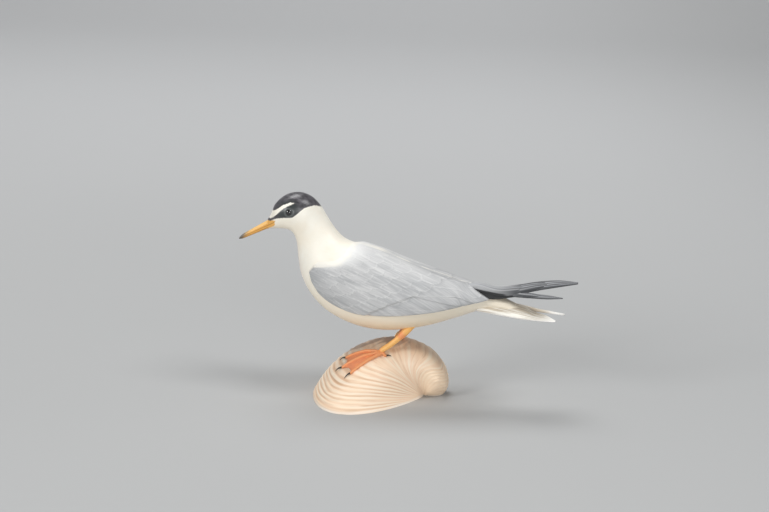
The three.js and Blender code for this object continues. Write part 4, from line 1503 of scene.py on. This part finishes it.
@dataclass(frozen=True)
class Tail:
    """Half a forked tail: x, inner y, outer y, ridge z, outer z and thickness."""

    ribs: Rows = (
        (60.0, 0.0, 6.0, 69.5, 65.6, 4.0),
        (72.0, 0.0, 8.8, 69.2, 65.0, 3.6),
        (86.0, 0.0, 11.0, 68.5, 63.7, 2.8),
        (98.0, 0.0, 12.4, 66.7, 62.8, 2.1),
        (105.0, 2.8, 12.2, 65.0, 62.3, 1.6),
        (112.5, 4.6, 11.4, 64.1, 61.8, 1.3),
        (120.0, 8.4, 10.1, 62.2, 61.4, 0.8),
    )
    skew: float = 0.16
    steps: int = 12
    feathers: int = 4
    feather_across: int = 9
    step: float = 0.42
    step_power: float = 1.5
    # The thickness from which the steps set in, and that from which they are full.
    step_start: Band = (0.4, 1.4)
    arch: float = 1.3
    edge_thinning: float = 0.6
    overlap: float = 0.05

    def skin(self, side: int) -> Skin:
        """Makes one half, with its feathers in steps that fall towards the outside.

        Args:
            side: -1 for the left, 1 for the right.

        Returns:
            The skin.
        """
        t = along_rows(self.ribs, self.steps)
        x, inner, outer, ridge, edge, thick = (column[:, None] for column in row_at(self.ribs, t).T)
        inner = np.maximum(inner, 0)
        share = np.linspace(0, 1, self.feathers * self.feather_across + 1)[None, :]
        y = inner + (outer - inner) * share
        z = ridge - (ridge - edge) * (y / outer) ** self.arch
        back = x + self.skew * side * y * (t / t[-1])[:, None]
        rim = 1 - self.edge_thinning * share**3
        feather = (share * self.feathers) % 1.0
        rise = self.step * feather**self.step_power * rim * smooth(*self.step_start, thick)
        top = np.stack([back, side * (y - self.overlap), z + thick / 2 * rim + rise], -1)
        low = np.stack([back, side * (y - self.overlap), z - thick / 2 * rim], -1)
        values = {"across": there_and_back(feather, feather), "tone": there_and_back(share, share)}
        return Skin(there_and_back(top, low), Coat.TAIL, values)


@dataclass
class TernCarving:
    """The bird in one carving, and its two glass eyes."""

    turn: HeadTurn = HeadTurn()
    eye: Eye = Eye()
    body: BirdBody = BirdBody()
    bill: Bill = Bill()
    wing: FoldedWing = FoldedWing()
    tips: FlightFeathers = FlightFeathers()
    tail: Tail = Tail()

    def bird(self) -> Object:
        """Returns the painted bird, which stands for its solid."""
        skins = [self.body.skin(self.turn, self.eye), self.bill.skin(self.turn)]
        skins += [self.wing.skin(side) for side in (-1, 1)]
        skins += self.tips.skins()
        skins += [self.tail.skin(side) for side in (-1, 1)]
        low, high = (np.array(corner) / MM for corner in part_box("bird"))
        for skin in skins:
            skin.rings = np.clip(skin.rings, low, high)
        coats = [BodyPaint(), WingPaint(), PrimaryPaint(), TailPaint(), BillPaint()]
        made = object_of("painted_bird", skins, [coat.material() for coat in coats])
        return worn(made, ["bird"])

    def glass_eye(self, side: int, name: str, node: str, glass: Material) -> Object:
        """Returns one polished eye.

        Args:
            side: -1 for the left, 1 for the right.
            name: the piece's name.
            node: the solid that it stands for.
            glass: its material.

        Returns:
            The eye.
        """
        pivot_x = self.turn.pivot_x
        axis = self.turn.turned(np.array([pivot_x, float(side), 0.0]), 1.0) - np.array([pivot_x, 0.0, 0.0])
        forward = np.cross(axis, UP)
        tilt = np.linspace(self.eye.first_ring, math.pi - self.eye.first_ring, self.eye.rings)[:, None]
        angle = circle(self.eye.sides)
        out = np.cos(tilt) * np.ones_like(angle)
        sideways = np.sin(tilt) * np.cos(angle)
        up = np.sin(tilt) * np.sin(angle)
        ball = out[..., None] * axis + sideways[..., None] * forward + up[..., None] * np.array(UP)
        rings = self.eye.centre(side, self.turn) + self.eye.radius * ball
        skin = Skin(rings, 0, {"out": 1 - np.abs(out)})
        return worn(object_of(name, [skin], [glass]), [node])


@dataclass(frozen=True)
class RidgedShell:
    """The clam shell: each growth line is the margin, turned about the hinge and shrunk."""

    hinge_x: float = 28.1
    hinge_y: float = 5.65
    axis_degrees: float = 14.7
    length: float = 74.3
    near_width: float = 41.5
    far_width: float = 33.6
    shrink: float = 0.51
    length_power: float = 1.07
    near_power: float = 0.84
    near_narrowing: float = 0.24
    lean: float = 0.094
    lean_growth: float = 0.257
    flare: float = 0.117
    flare_reach: float = 0.35
    # Each swell of the near side: its share of the width, the turn at its middle and its reach.
    swells: Rows = ((-0.08, 1.0, 0.3), (1.0, 2.45, 0.75))
    round_start: float = 2.65
    rounding: float = 0.12
    ridges: int = 24
    # Spans of lines over which the growth lines' bend changes: from, to and change, in ridges.
    bends: Rows = ((0.0, 6.5, -2.6), (10.6, 14.0, 8.0), (14.0, 24.0, -5.4))
    bend_power: float = 1.4
    bend_start: Band = (0.12, 2.5)
    bend_end: Band = (6.0, 3.8)
    ridge_depth: float = 0.75
    crest_place: float = 0.62
    # How far the ridges wander, in ridges. A noise's size is given by its numbers of waves
    # round the shell and along its growth, and by the place where it starts.
    wander: float = 1.1
    wander_size: tuple[float, float, float] = (6.0, 9.0, 0.0)
    wander_start: Band = (0.0, 2.0)
    wander_end: Band = (24.0, 22.0)
    # Counts of ridges at the edges of the wide part of the middle and of the beak.
    wide_start: Band = (9.8, 11.2)
    wide_end: Band = (14.8, 13.4)
    beak_start: Band = (13.6, 15.2)
    wide_loss: float = 0.6
    wide_small: float = 0.5
    beak_loss: float = 0.32
    # The ridges near the margin are softer.
    soft_end: Band = (8.0, 2.0)
    softness: float = 0.32
    fade_start: Band = (0.0, 0.6)
    # The ridges' strength comes and goes between its least value and more than 1, where it is cut.
    strength_noise: Band = (0.2, 0.6)
    strength_size: tuple[float, float, float] = (4.0, 30.0, 5.0)
    strength_span: float = 0.7
    least_strength: float = 0.25
    fine_lines: float = 5.3
    fine_height: float = 0.04
    middle_height: float = 0.55
    columns: int = 250
    rows: int = 330
    floor_share: float = 0.02
    smooth_rows: int = 64
    merge_distance: float = 0.01

    def place(self, turn: Any, around: Any, scale: Any, maths: Any) -> tuple[Any, Any, Any]:
        """Works out a point of the shell from its turn, its angle round the growth line and its scale.

        Args:
            turn: 0 at the margin, half a turn at the beak.
            around: the angle round the growth line.
            scale: the growth line's share of the margin's size.
            maths: a set of functions for numbers or for nodes.

        Returns:
            The point's x, y and z in millimetres.
        """
        length = self.length * maths.power(maths.size(maths.sin(around * 0.5)), self.length_power)
        flare = 1.0 + self.flare * maths.exp(turn * (-1.0 / self.flare_reach))
        narrowing = maths.exp(turn * -self.near_narrowing)
        for share, middle, reach in self.swells:
            away = (turn - middle) * (1.0 / reach)
            narrowing = narrowing * (1.0 + share * maths.exp(away * away * -1.0))
        late = maths.ramp(self.round_start, math.pi, turn)
        scale = scale * (1.0 - self.rounding * (late * late))
        side = maths.sin(around)
        near = self.near_width * flare * narrowing * maths.power(maths.size(side), self.near_power)
        spread = maths.pick(side, -1.0 * near, -1.0 * self.far_width * side)
        lean = (self.lean + turn * (self.lean_growth / math.pi)) * length
        along = length * scale * maths.cos(turn)
        across = (spread + lean) * scale
        axis = math.radians(self.axis_degrees)
        x = self.hinge_x - along * math.cos(axis) - across * math.sin(axis)
        y = self.hinge_y - along * math.sin(axis) + across * math.cos(axis)
        return x, y, length * scale * maths.sin(turn)

    def smooth_surface(self) -> BVHTree:
        """Returns the shell at the height of its crests, which the feet stand on."""
        n = self.smooth_rows
        turn = np.linspace(0, math.pi, n)[:, None]
        around = np.linspace(0, FULL_TURN, n)[None, :]
        scale = np.exp(-self.shrink * turn) + self.ridge_depth / 2 / self.length
        x, y, z = np.broadcast_arrays(*self.place(turn, around, scale, NumberMaths))
        points = [Vector(p) for p in np.stack([x, y, z], -1).reshape(-1, 3)]
        faces = [
            (i * n + j, i * n + j + 1, (i + 1) * n + j + 1, (i + 1) * n + j)
            for i in range(n - 1)
            for j in range(n - 1)
        ]
        return BVHTree.FromPolygons(points, faces)

    def ridged(self, g: Graph, u: Value, growth: Value, maths: "NodeMaths") -> tuple[Value, ...]:
        """Works out the ridges at a point of the flat grid.

        Args:
            g: the tree's builder.
            u: the share of the way round the growth line.
            growth: the share of the growth from the margin to the beak.
            maths: the functions for nodes.

        Returns:
            The shell's turn, the height over it, the crest's height for the paint and the line's number.
        """
        around = u * FULL_TURN
        count = growth * float(self.ridges)
        bend = g.smooth(*self.bend_start, around) ** self.bend_power * g.smooth(*self.bend_end, around)
        place = straight = count
        for start, end, change in self.bends:
            ramp = maths.ramp(start, end, count)
            place = place + ramp * bend * change
            straight = straight + ramp * change
        whole = 1.0 - math.exp(-self.shrink * math.pi)
        turn = g.math("LOGARITHM", 1.0 - place * (whole / self.ridges), math.e) * (-1.0 / self.shrink)

        def crest_at(line: Value) -> Value:
            """Returns the height of the ridge at a line's number, from 0 to 1."""
            part = g.math("FRACT", line)
            return g.smooth(0.0, self.crest_place, part) - g.smooth(self.crest_place, 1.0, part)

        def noise_of(size: Sequence[float], detail: float) -> Value:
            """Returns noise of a size round the shell and along its growth."""
            return g.grain(u * size[0], growth * size[1], size[2], detail)

        wander = (noise_of(self.wander_size, 2.0) - 0.5) * self.wander
        moved = count + wander * g.smooth(*self.wander_start, count) * g.smooth(*self.wander_end, count)
        wide = g.smooth(*self.wide_start, count) * g.smooth(*self.wide_end, count)
        beak = g.smooth(*self.beak_start, count)
        crest = crest_at(moved) * (1.0 - wide * self.wide_loss - beak * self.beak_loss)
        crest = crest + crest_at(straight + wander) * wide * self.wide_small
        fade = g.smooth(*self.fade_start, count) * g.smooth(self.ridges, self.ridges - 1.0, count)
        patches = g.smooth(*self.strength_noise, noise_of(self.strength_size, 1.0))
        strength = patches * self.strength_span + self.least_strength
        fine = g.math("SINE", straight * (self.fine_lines * FULL_TURN)) * self.fine_height
        soft = 1.0 - g.smooth(*self.soft_end, count) * self.softness
        rise = g.math("MINIMUM", crest * strength, 1.0) + fine - self.middle_height
        return turn, rise * fade * soft, crest * fade, straight

    def tree(self, paint: Material) -> Tree:
        """Builds the Geometry Nodes tree that raises the shell from a flat grid.

        Args:
            paint: the material to set.

        Returns:
            The tree, with the numbers of rows and columns and the ridges' depth as its inputs.
        """
        tree = bpy.data.node_groups.new("growth_lines", "GeometryNodeTree")
        inputs = {"Columns": "NodeSocketInt", "Rows": "NodeSocketInt", "Ridge depth": "NodeSocketFloat"}
        for name, kind in inputs.items():
            tree.interface.new_socket(name, in_out="INPUT", socket_type=kind)
        tree.interface.new_socket("Shell", in_out="OUTPUT", socket_type="NodeSocketGeometry")
        g = Graph(tree)
        maths = NodeMaths(g)
        given = g.node("NodeGroupInput").outputs
        size = {"Size X": 1.0, "Size Y": 1.0, "Vertices X": given["Columns"], "Vertices Y": given["Rows"]}
        shape = g.node("GeometryNodeMeshGrid", None, size).outputs[0]
        flat_x, flat_y, _ = g.split(g.node("GeometryNodeInputPosition").outputs[0])
        u, v = flat_x + 0.5, flat_y + 0.5
        cap = self.floor_share
        growth = maths.ramp(cap, 1.0 - cap, v)
        turn, rise, crest, line = self.ridged(g, u, growth, maths)
        depth = Value(g, given["Ridge depth"]) * (1.0 / self.length)
        scale = g.math("EXPONENT", turn * -self.shrink) + rise * depth
        closing = g.math("MINIMUM", g.math("MINIMUM", v / cap, (1.0 - v) / cap), 1.0)
        x, y, z = self.place(turn, u * FULL_TURN, scale * closing, maths)
        point = g.vector(x * MM, y * MM, g.math("MAXIMUM", z * MM, 0.0))
        for name, value in {"ridge": crest, "growth": growth, "line": line, "around": u}.items():
            stored = {"Geometry": shape, "Name": name, "Value": value}
            shape = g.node("GeometryNodeStoreNamedAttribute", {"data_type": "FLOAT"}, stored).outputs[0]
        steps = (
            ("GeometryNodeSetPosition", {"Position": point}),
            ("GeometryNodeMergeByDistance", {"Distance": self.merge_distance * MM}),
            ("GeometryNodeSetShadeSmooth", {"Shade Smooth": True}),
            ("GeometryNodeRealizeInstances", {}),
            ("GeometryNodeSetMaterial", {"Material": paint}),
        )
        for kind, settings in steps:
            shape = g.node(kind, None, {"Geometry": shape, **settings}).outputs[0]
        g.node("NodeGroupOutput", None, {0: shape})
        return tree

    def piece(self) -> Object:
        """Returns the painted shell, which stands for its solid."""
        inputs = {"Columns": self.columns, "Rows": self.rows, "Ridge depth": self.ridge_depth}
        made = grown("ridged_shell", self.tree(ShellPaint().material()), inputs)
        low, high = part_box("shell_base")
        points = np.empty(len(made.data.vertices) * 3, np.float32)
        made.data.vertices.foreach_get("co", points)
        points = np.clip(points.reshape(-1, 3), np.array(low), np.array(high))
        made.data.vertices.foreach_set("co", points.ravel())
        made.data.update()
        return worn(made, ["shell_base"])


class NumberMaths:
    """The shell's functions for arrays of numbers."""

    sin = staticmethod(np.sin)
    cos = staticmethod(np.cos)
    exp = staticmethod(np.exp)
    power = staticmethod(np.power)
    size = staticmethod(np.abs)

    @staticmethod
    def ramp(low: float, high: float, value: np.ndarray) -> np.ndarray:
        """Returns a straight rise from 0 at low to 1 at high."""
        return np.clip((value - low) / (high - low), 0, 1)

    @staticmethod
    def pick(side: np.ndarray, near: np.ndarray, far: np.ndarray) -> np.ndarray:
        """Returns near where side is above 0, and far elsewhere."""
        return np.where(side > 0, near, far)


class NodeMaths:
    """The shell's functions as nodes."""

    power = staticmethod(operator.pow)

    def __init__(self, graph: Graph) -> None:
        """Keeps the graph and the functions that are one Math node each."""
        self.graph = graph
        self.sin, self.cos = partial(graph.math, "SINE"), partial(graph.math, "COSINE")
        self.exp, self.size = partial(graph.math, "EXPONENT"), partial(graph.math, "ABSOLUTE")

    def ramp(self, low: float, high: float, value: Value) -> Value:
        """Returns a straight rise from 0 at low to 1 at high."""
        rise = (value - low) / (high - low)
        return self.graph.math("MINIMUM", self.graph.math("MAXIMUM", rise, 0.0), 1.0)

    def pick(self, side: Value, near: Value, far: Value) -> Value:
        """Returns near where side is above 0, and far elsewhere."""
        is_near = self.graph.math("GREATER_THAN", side, 0.0)
        return is_near * near + (1.0 - is_near) * far


class LegPart(Enum):
    """What the leg's paint reads to tell its parts apart."""

    SHANK = 0.0
    TOE = 1.0
    WEB = 2.0
    CLAW = 3.0


@dataclass(frozen=True)
class Toe:
    """Where a toe ends and where its claw ends, seen from above."""

    end: Point
    claw: Point


@dataclass(frozen=True)
class WebbedLeg:
    """A leg: its shank's rows of x, y, z, half width and half depth, and its toes."""

    name: str
    node: str
    shank: Rows
    ankle: Point
    toes: Sequence[Toe]
    hind: Toe
    sides: int = 18
    # Low scales ring the shank, a number of them from each row of its table to the next.
    shank_steps: int = 16
    shank_scale: float = 0.035
    shank_scales: float = 3.5
    # A toe has scales, one joint and a rounded end.
    toe_radius: float = 1.25
    toe_tip_radius: float = 0.85
    scute: float = 0.05
    scutes: int = 15
    scute_steps: int = 5
    joint: float = 0.12
    joint_place: float = 0.45
    joint_width: float = 0.05
    rounding: float = 0.5
    rounding_start: float = 0.97
    claw_radius: float = 0.52
    claw_tip_radius: float = 0.1
    claw_taper: float = 1.3
    claw_depth: float = 1.2
    claw_steps: int = 14
    claw_sides: int = 12
    web_start: float = 0.1
    web_end: float = 0.97
    web_steps: int = 26
    web_across: int = 16
    web_thickness: float = 0.75
    web_scallop: float = 0.06
    web_fold: float = 0.10
    web_folds: int = 5
    web_slimming: float = 0.6
    web_edge: float = 0.12
    # The sole's height over the shell, and a height above everything.
    sole: float = -0.25
    above: float = 150.0

    def ground(self, surface: BVHTree, x: np.ndarray, y: np.ndarray) -> np.ndarray:
        """Measures the shell under points.

        Args:
            surface: what the foot stands on.
            x: the points' x.
            y: the points' y.

        Returns:
            The shell's height under each point.
        """
        down = Vector((0.0, 0.0, -1.0))
        hits = [surface.ray_cast(Vector((a, b, self.above)), down)[0] for a, b in zip(x.flat, y.flat)]
        return np.array([hit.z if hit else 0.0 for hit in hits]).reshape(x.shape)

    def shank_skin(self) -> Skin:
        """Returns the shank, ringed with low scales."""
        t = along_rows(self.shank, self.shank_steps)
        rows = row_at(self.shank, t)
        ring = 1 + self.shank_scale * np.abs(np.sin(t * math.pi * self.shank_scales))
        rows[:, 3:5] *= ring[:, None]
        values = {"along": (t / t[-1])[:, None], "kind": LegPart.SHANK.value}
        return Skin(tube(rows, self.sides), 0, values)

    def toe_skin(self, toe: Toe, surface: BVHTree) -> Skin:
        """Makes one toe, ringed with scales, lying on the shell.

        Args:
            toe: the toe.
            surface: what the foot stands on.

        Returns:
            The skin.
        """
        t = np.linspace(0, 1, self.scutes * self.scute_steps + 1)
        x, y = straight_line(self.ankle, toe.end, t)
        radius = self.toe_radius + (self.toe_tip_radius - self.toe_radius) * t
        radius = radius * (1 + self.scute * np.abs(np.sin(t * math.pi * self.scutes)))
        joint = self.joint * bell(t, self.joint_place, self.joint_width)
        radius = radius * (1 + joint - self.rounding * smooth(self.rounding_start, 1.0, t))
        ground = self.ground(surface, x, y)
        rows = np.stack([x, y, ground + radius + self.sole, radius, radius], -1)
        return Skin(tube(rows, self.sides), 0, {"along": t[:, None], "kind": LegPart.TOE.value})

    def claw_skin(self, toe: Toe, surface: BVHTree) -> Skin:
        """Makes one curved claw.

        Args:
            toe: the claw's toe.
            surface: what the foot stands on.

        Returns:
            The skin.
        """
        t = np.linspace(0, 1, self.claw_steps)
        x, y = straight_line(toe.end, toe.claw, t)
        radius = self.claw_radius + (self.claw_tip_radius - self.claw_radius) * t**self.claw_taper
        ground = self.ground(surface, x, y)
        rise = self.toe_tip_radius * (1 - t) + self.claw_radius * np.sin(math.pi * t)
        height = ground + rise + radius * t + self.sole / 2
        rows = np.stack([x, y, height, radius, radius * self.claw_depth], -1)
        return Skin(tube(rows, self.claw_sides), 0, {"along": t[:, None], "kind": LegPart.CLAW.value})

    def web_skin(self, first: Toe, second: Toe, surface: BVHTree) -> Skin:
        """Makes the web between two toes, its front edge drawn in between them.

        Args:
            first: one toe.
            second: the next toe.
            surface: what the foot stands on.

        Returns:
            The skin.
        """
        t = np.linspace(self.web_start, self.web_end, self.web_steps)[:, None]
        u = np.linspace(0, 1, self.web_across)[None, :]
        reach = t * (1 - self.web_scallop * 4 * u * (1 - u))
        x, y = straight_line(self.ankle, straight_line(first.end, second.end, u), reach)
        ground = self.ground(surface, x, y)
        fold = self.web_fold * np.sin(u * math.pi * self.web_folds) * np.sin(u * math.pi) * t
        slim = 1 - self.web_slimming * smooth(self.web_end - self.web_edge, self.web_end, t)
        top = np.stack([x, y, ground + (self.web_thickness + fold) * slim], -1)
        low = np.stack([x, y, ground + self.sole], -1)
        return Skin(there_and_back(top, low), 0, {"kind": LegPart.WEB.value})

    def piece(self, surface: BVHTree, paint: Material) -> Object:
        """Returns the painted leg, which stands for its solid.

        Args:
            surface: what the foot stands on.
            paint: the leg's material.

        Returns:
            The leg.
        """
        skins = [self.shank_skin()]
        for toe in (*self.toes, self.hind):
            skins += [self.toe_skin(toe, surface), self.claw_skin(toe, surface)]
        for first, second in zip(self.toes[:-1], self.toes[1:]):
            skins.append(self.web_skin(first, second, surface))
        return worn(object_of(self.name, skins, [paint]), [self.node])


LEFT_LEG = WebbedLeg(
    name="left_webbed_leg",
    node="left_leg",
    shank=(
        (25.0, -8.3, 55.0, 2.9, 2.7),
        (19.5, -8.9, 48.4, 2.6, 2.4),
        (16.5, -9.3, 45.2, 2.7, 2.3),
        (13.9, -9.8, 42.7, 2.1, 1.9),
        (8.8, -10.9, 38.5, 1.9, 1.8),
        (4.2, -12.0, 35.4, 2.2, 1.7),
        (2.4, -12.3, 34.4, 1.4, 1.2),
    ),
    ankle=(3.9, -12.1),
    toes=(
        Toe((-14.4, -26.2), (-18.0, -27.9)),
        Toe((-22.1, -18.6), (-27.2, -16.8)),
        Toe((-22.0, -9.1), (-27.4, -4.5)),
    ),
    hind=Toe((6.4, -13.0), (9.8, -11.1)),
)
RIGHT_LEG = WebbedLeg(
    name="right_webbed_leg",
    node="right_leg",
    shank=(
        (22.0, 6.5, 52.0, 2.9, 2.7),
        (15.8, 8.7, 45.0, 2.5, 2.3),
        (12.9, 11.4, 42.2, 2.5, 2.2),
        (10.5, 14.6, 40.2, 2.0, 1.9),
        (7.4, 19.6, 37.2, 1.8, 1.7),
        (5.2, 24.2, 33.9, 2.0, 1.6),
        (4.2, 25.4, 32.6, 1.3, 1.1),
    ),
    ankle=(4.6, 24.8),
    toes=(
        Toe((-12.6, 26.6), (-16.4, 26.4)),
        Toe((-15.8, 24.9), (-20.2, 24.2)),
        Toe((-14.2, 23.4), (-18.0, 22.6)),
    ),
    hind=Toe((7.0, 25.2), (10.2, 25.4)),
)


@dataclass(frozen=True)
class Studio:
    """A pale sweep, painted lighter towards the back and darker to the right, soft light from the upper
    left, and the camera.
    """

    target: tuple[float, float, float] = (2.23, 0.56, 95.9)
    azimuth: float = 14.0
    elevation: float = 14.0
    distance: float = 1450.0
    lens: float = 102.85
    sensor: float = 36.0
    # The sweep's sizes and the bands of its paint are in metres.
    sweep_half_width: float = 4.0
    sweep_front: float = -3.0
    sweep_back: float = 1.6
    sweep_radius: float = 1.2
    sweep_height: float = 3.2
    sweep_steps: int = 25
    grey: Colour = tint(175, 176, 176)
    pale: Colour = tint(183, 184, 184)
    far: Colour = tint(198, 199, 200)
    right_painted_shade: Colour = tint(158, 159, 162)
    far_painted_light_start: Band = (0.1, 1.2)
    right_start: Band = (0.1, 0.6)
    right_painted_shade_start: Band = (0.12, 1.0)
    # Each soft light: its name, its place in metres, its width in metres and its power in watts.
    lights: Sequence[tuple[str, tuple[float, float, float], float, float]] = (
        ("left_softbox", (-1.68, -1.93, 1.24), 0.9, 31.0),
        ("right_softbox", (1.35, -0.45, 2.2), 0.9, 23.0),
        ("low_front_softbox", (1.25, -2.55, 0.5), 1.2, 27.0),
        ("top_softbox", (-0.6, 0.9, 2.4), 1.3, 32.0),
    )
    glow: Colour = (0.98, 0.99, 1.0, 1.0)
    glow_strength: float = 0.21

    def camera(self) -> None:
        """Adds the camera at the photograph's angle."""
        a, e = math.radians(self.azimuth), math.radians(self.elevation)
        back = Vector((math.sin(a) * math.cos(e), -math.cos(a) * math.cos(e), math.sin(e)))
        data = bpy.data.cameras.new("camera")
        data.lens, data.sensor_width = self.lens, self.sensor
        made = linked("camera", data)
        made.location = Vector(self.target) * MM + back * (self.distance * MM)
        made.rotation_euler = (-back).to_track_quat("-Z", "Y").to_euler()
        bpy.context.scene.camera = made

    def sweep(self) -> None:
        """Adds the floor, which curves up into the backdrop."""
        angle = np.linspace(0, math.pi / 2, self.sweep_steps)
        bend_y = self.sweep_back + self.sweep_radius * np.sin(angle)
        bend_z = self.sweep_radius * (1 - np.cos(angle))
        y = np.concatenate([[self.sweep_front], bend_y, [bend_y[-1]]])
        z = np.concatenate([[0.0], bend_z, [self.sweep_height]])
        points = [(side * self.sweep_half_width, b, c) for b, c in zip(y, z) for side in (-1, 1)]
        faces = [(2 * i, 2 * i + 1, 2 * i + 3, 2 * i + 2) for i in range(len(y) - 1)]
        mesh = bpy.data.meshes.new("sweep")
        mesh.from_pydata(points, [], faces)
        mesh.polygons.foreach_set("use_smooth", [True] * len(faces))
        g = PaintGraph("sweep_paper", 0.0, 0.5)
        cloud = g.noise(g.place, 1.5, 2.0)
        right = g.smooth(*self.right_start, g.x + g.y * 0.25)
        colour = g.layered(
            self.grey,
            (cloud, self.pale),
            # painted light: the paper is lighter towards the back, less so on the right
            (g.smooth(*self.far_painted_light_start, g.y) * (1.0 - right * 0.7), self.far),
            # painted shade: the paper darkens to the right
            (g.smooth(*self.right_painted_shade_start, g.x + g.y * 0.15) * 0.6, self.right_painted_shade),
        )
        mesh.materials.append(g.finish(colour, 0.9))
        linked("sweep", mesh)

    def light(self, name: str, place: tuple[float, float, float], size: float, power: float) -> None:
        """Adds one soft light that faces the carving.

        Args:
            name: the light's name.
            place: where it stands, in metres.
            size: the width of its face, in metres.
            power: in watts.
        """
        data = bpy.data.lights.new(name, "AREA")
        data.size, data.energy = size, power
        made = linked(name, data)
        made.location = place
        made.rotation_euler = (Vector(self.target) * MM - Vector(place)).to_track_quat("-Z", "Y").to_euler()

    def build(self) -> None:
        """Builds the sweep, the lights, the surrounding glow and the camera."""
        self.camera()
        self.sweep()
        for light in self.lights:
            self.light(*light)
        world = bpy.data.worlds.new("soft_room")
        world.use_nodes = True
        background = world.node_tree.nodes["Background"]
        background.inputs[0].default_value = self.glow
        background.inputs[1].default_value = self.glow_strength
        bpy.context.scene.world = world
        bpy.context.scene.view_settings.view_transform = "Standard"


def grown(name: str, tree: Tree, inputs: dict[str, Any]) -> Object:
    """Runs a Geometry Nodes tree and keeps its result as a plain mesh.

    Args:
        name: the object's name.
        tree: the tree.
        inputs: its inputs' values, by name.

    Returns:
        The object, with its faces pointing outwards.
    """
    seed = linked(name + "_seed", bpy.data.meshes.new(name + "_seed"))
    modifier = seed.modifiers.new("growth", "NODES")
    modifier.node_group = tree
    sockets = {item.name: item.identifier for item in tree.interface.items_tree}
    for key, value in inputs.items():
        modifier[sockets[key]] = value
    bpy.context.view_layer.update()
    evaluated = seed.evaluated_get(bpy.context.evaluated_depsgraph_get())
    mesh = bpy.data.meshes.new_from_object(evaluated)
    bpy.data.objects.remove(seed)
    mesh.name = name
    work = bmesh.new()
    work.from_mesh(mesh)
    if work.calc_volume(signed=True) < 0:
        bmesh.ops.reverse_faces(work, faces=work.faces[:])
    work.to_mesh(mesh)
    work.free()
    return linked(name, mesh)


def worn(piece: Object, nodes: Sequence[str]) -> Object:
    """Lets a piece ride on the body and stand for its solids.

    Args:
        piece: the piece.
        nodes: the solids.

    Returns:
        The piece.
    """
    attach(piece, "root")
    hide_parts(*nodes)
    return piece


def main() -> None:
    """Loads the frame, dresses every piece and reports each one."""
    logging.basicConfig(level=logging.INFO, format="%(name)s: %(message)s")
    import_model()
    Studio().build()
    shell = RidgedShell()
    surface = shell.smooth_surface()
    carving = TernCarving()
    leg_paint = LegPaint().material()
    glass = EyeGlass().material()
    pieces = [
        shell.piece(),
        LEFT_LEG.piece(surface, leg_paint),
        RIGHT_LEG.piece(surface, leg_paint),
        carving.bird(),
        carving.glass_eye(-1, "left_glass_eye", "left_eye", glass),
        carving.glass_eye(1, "right_glass_eye", "right_eye", glass),
    ]
    for piece in pieces:
        piece.data.calc_loop_triangles()
        LOG.info("%s: %d triangles", piece.name, len(piece.data.loop_triangles))


if __name__ == "__main__":
    main()
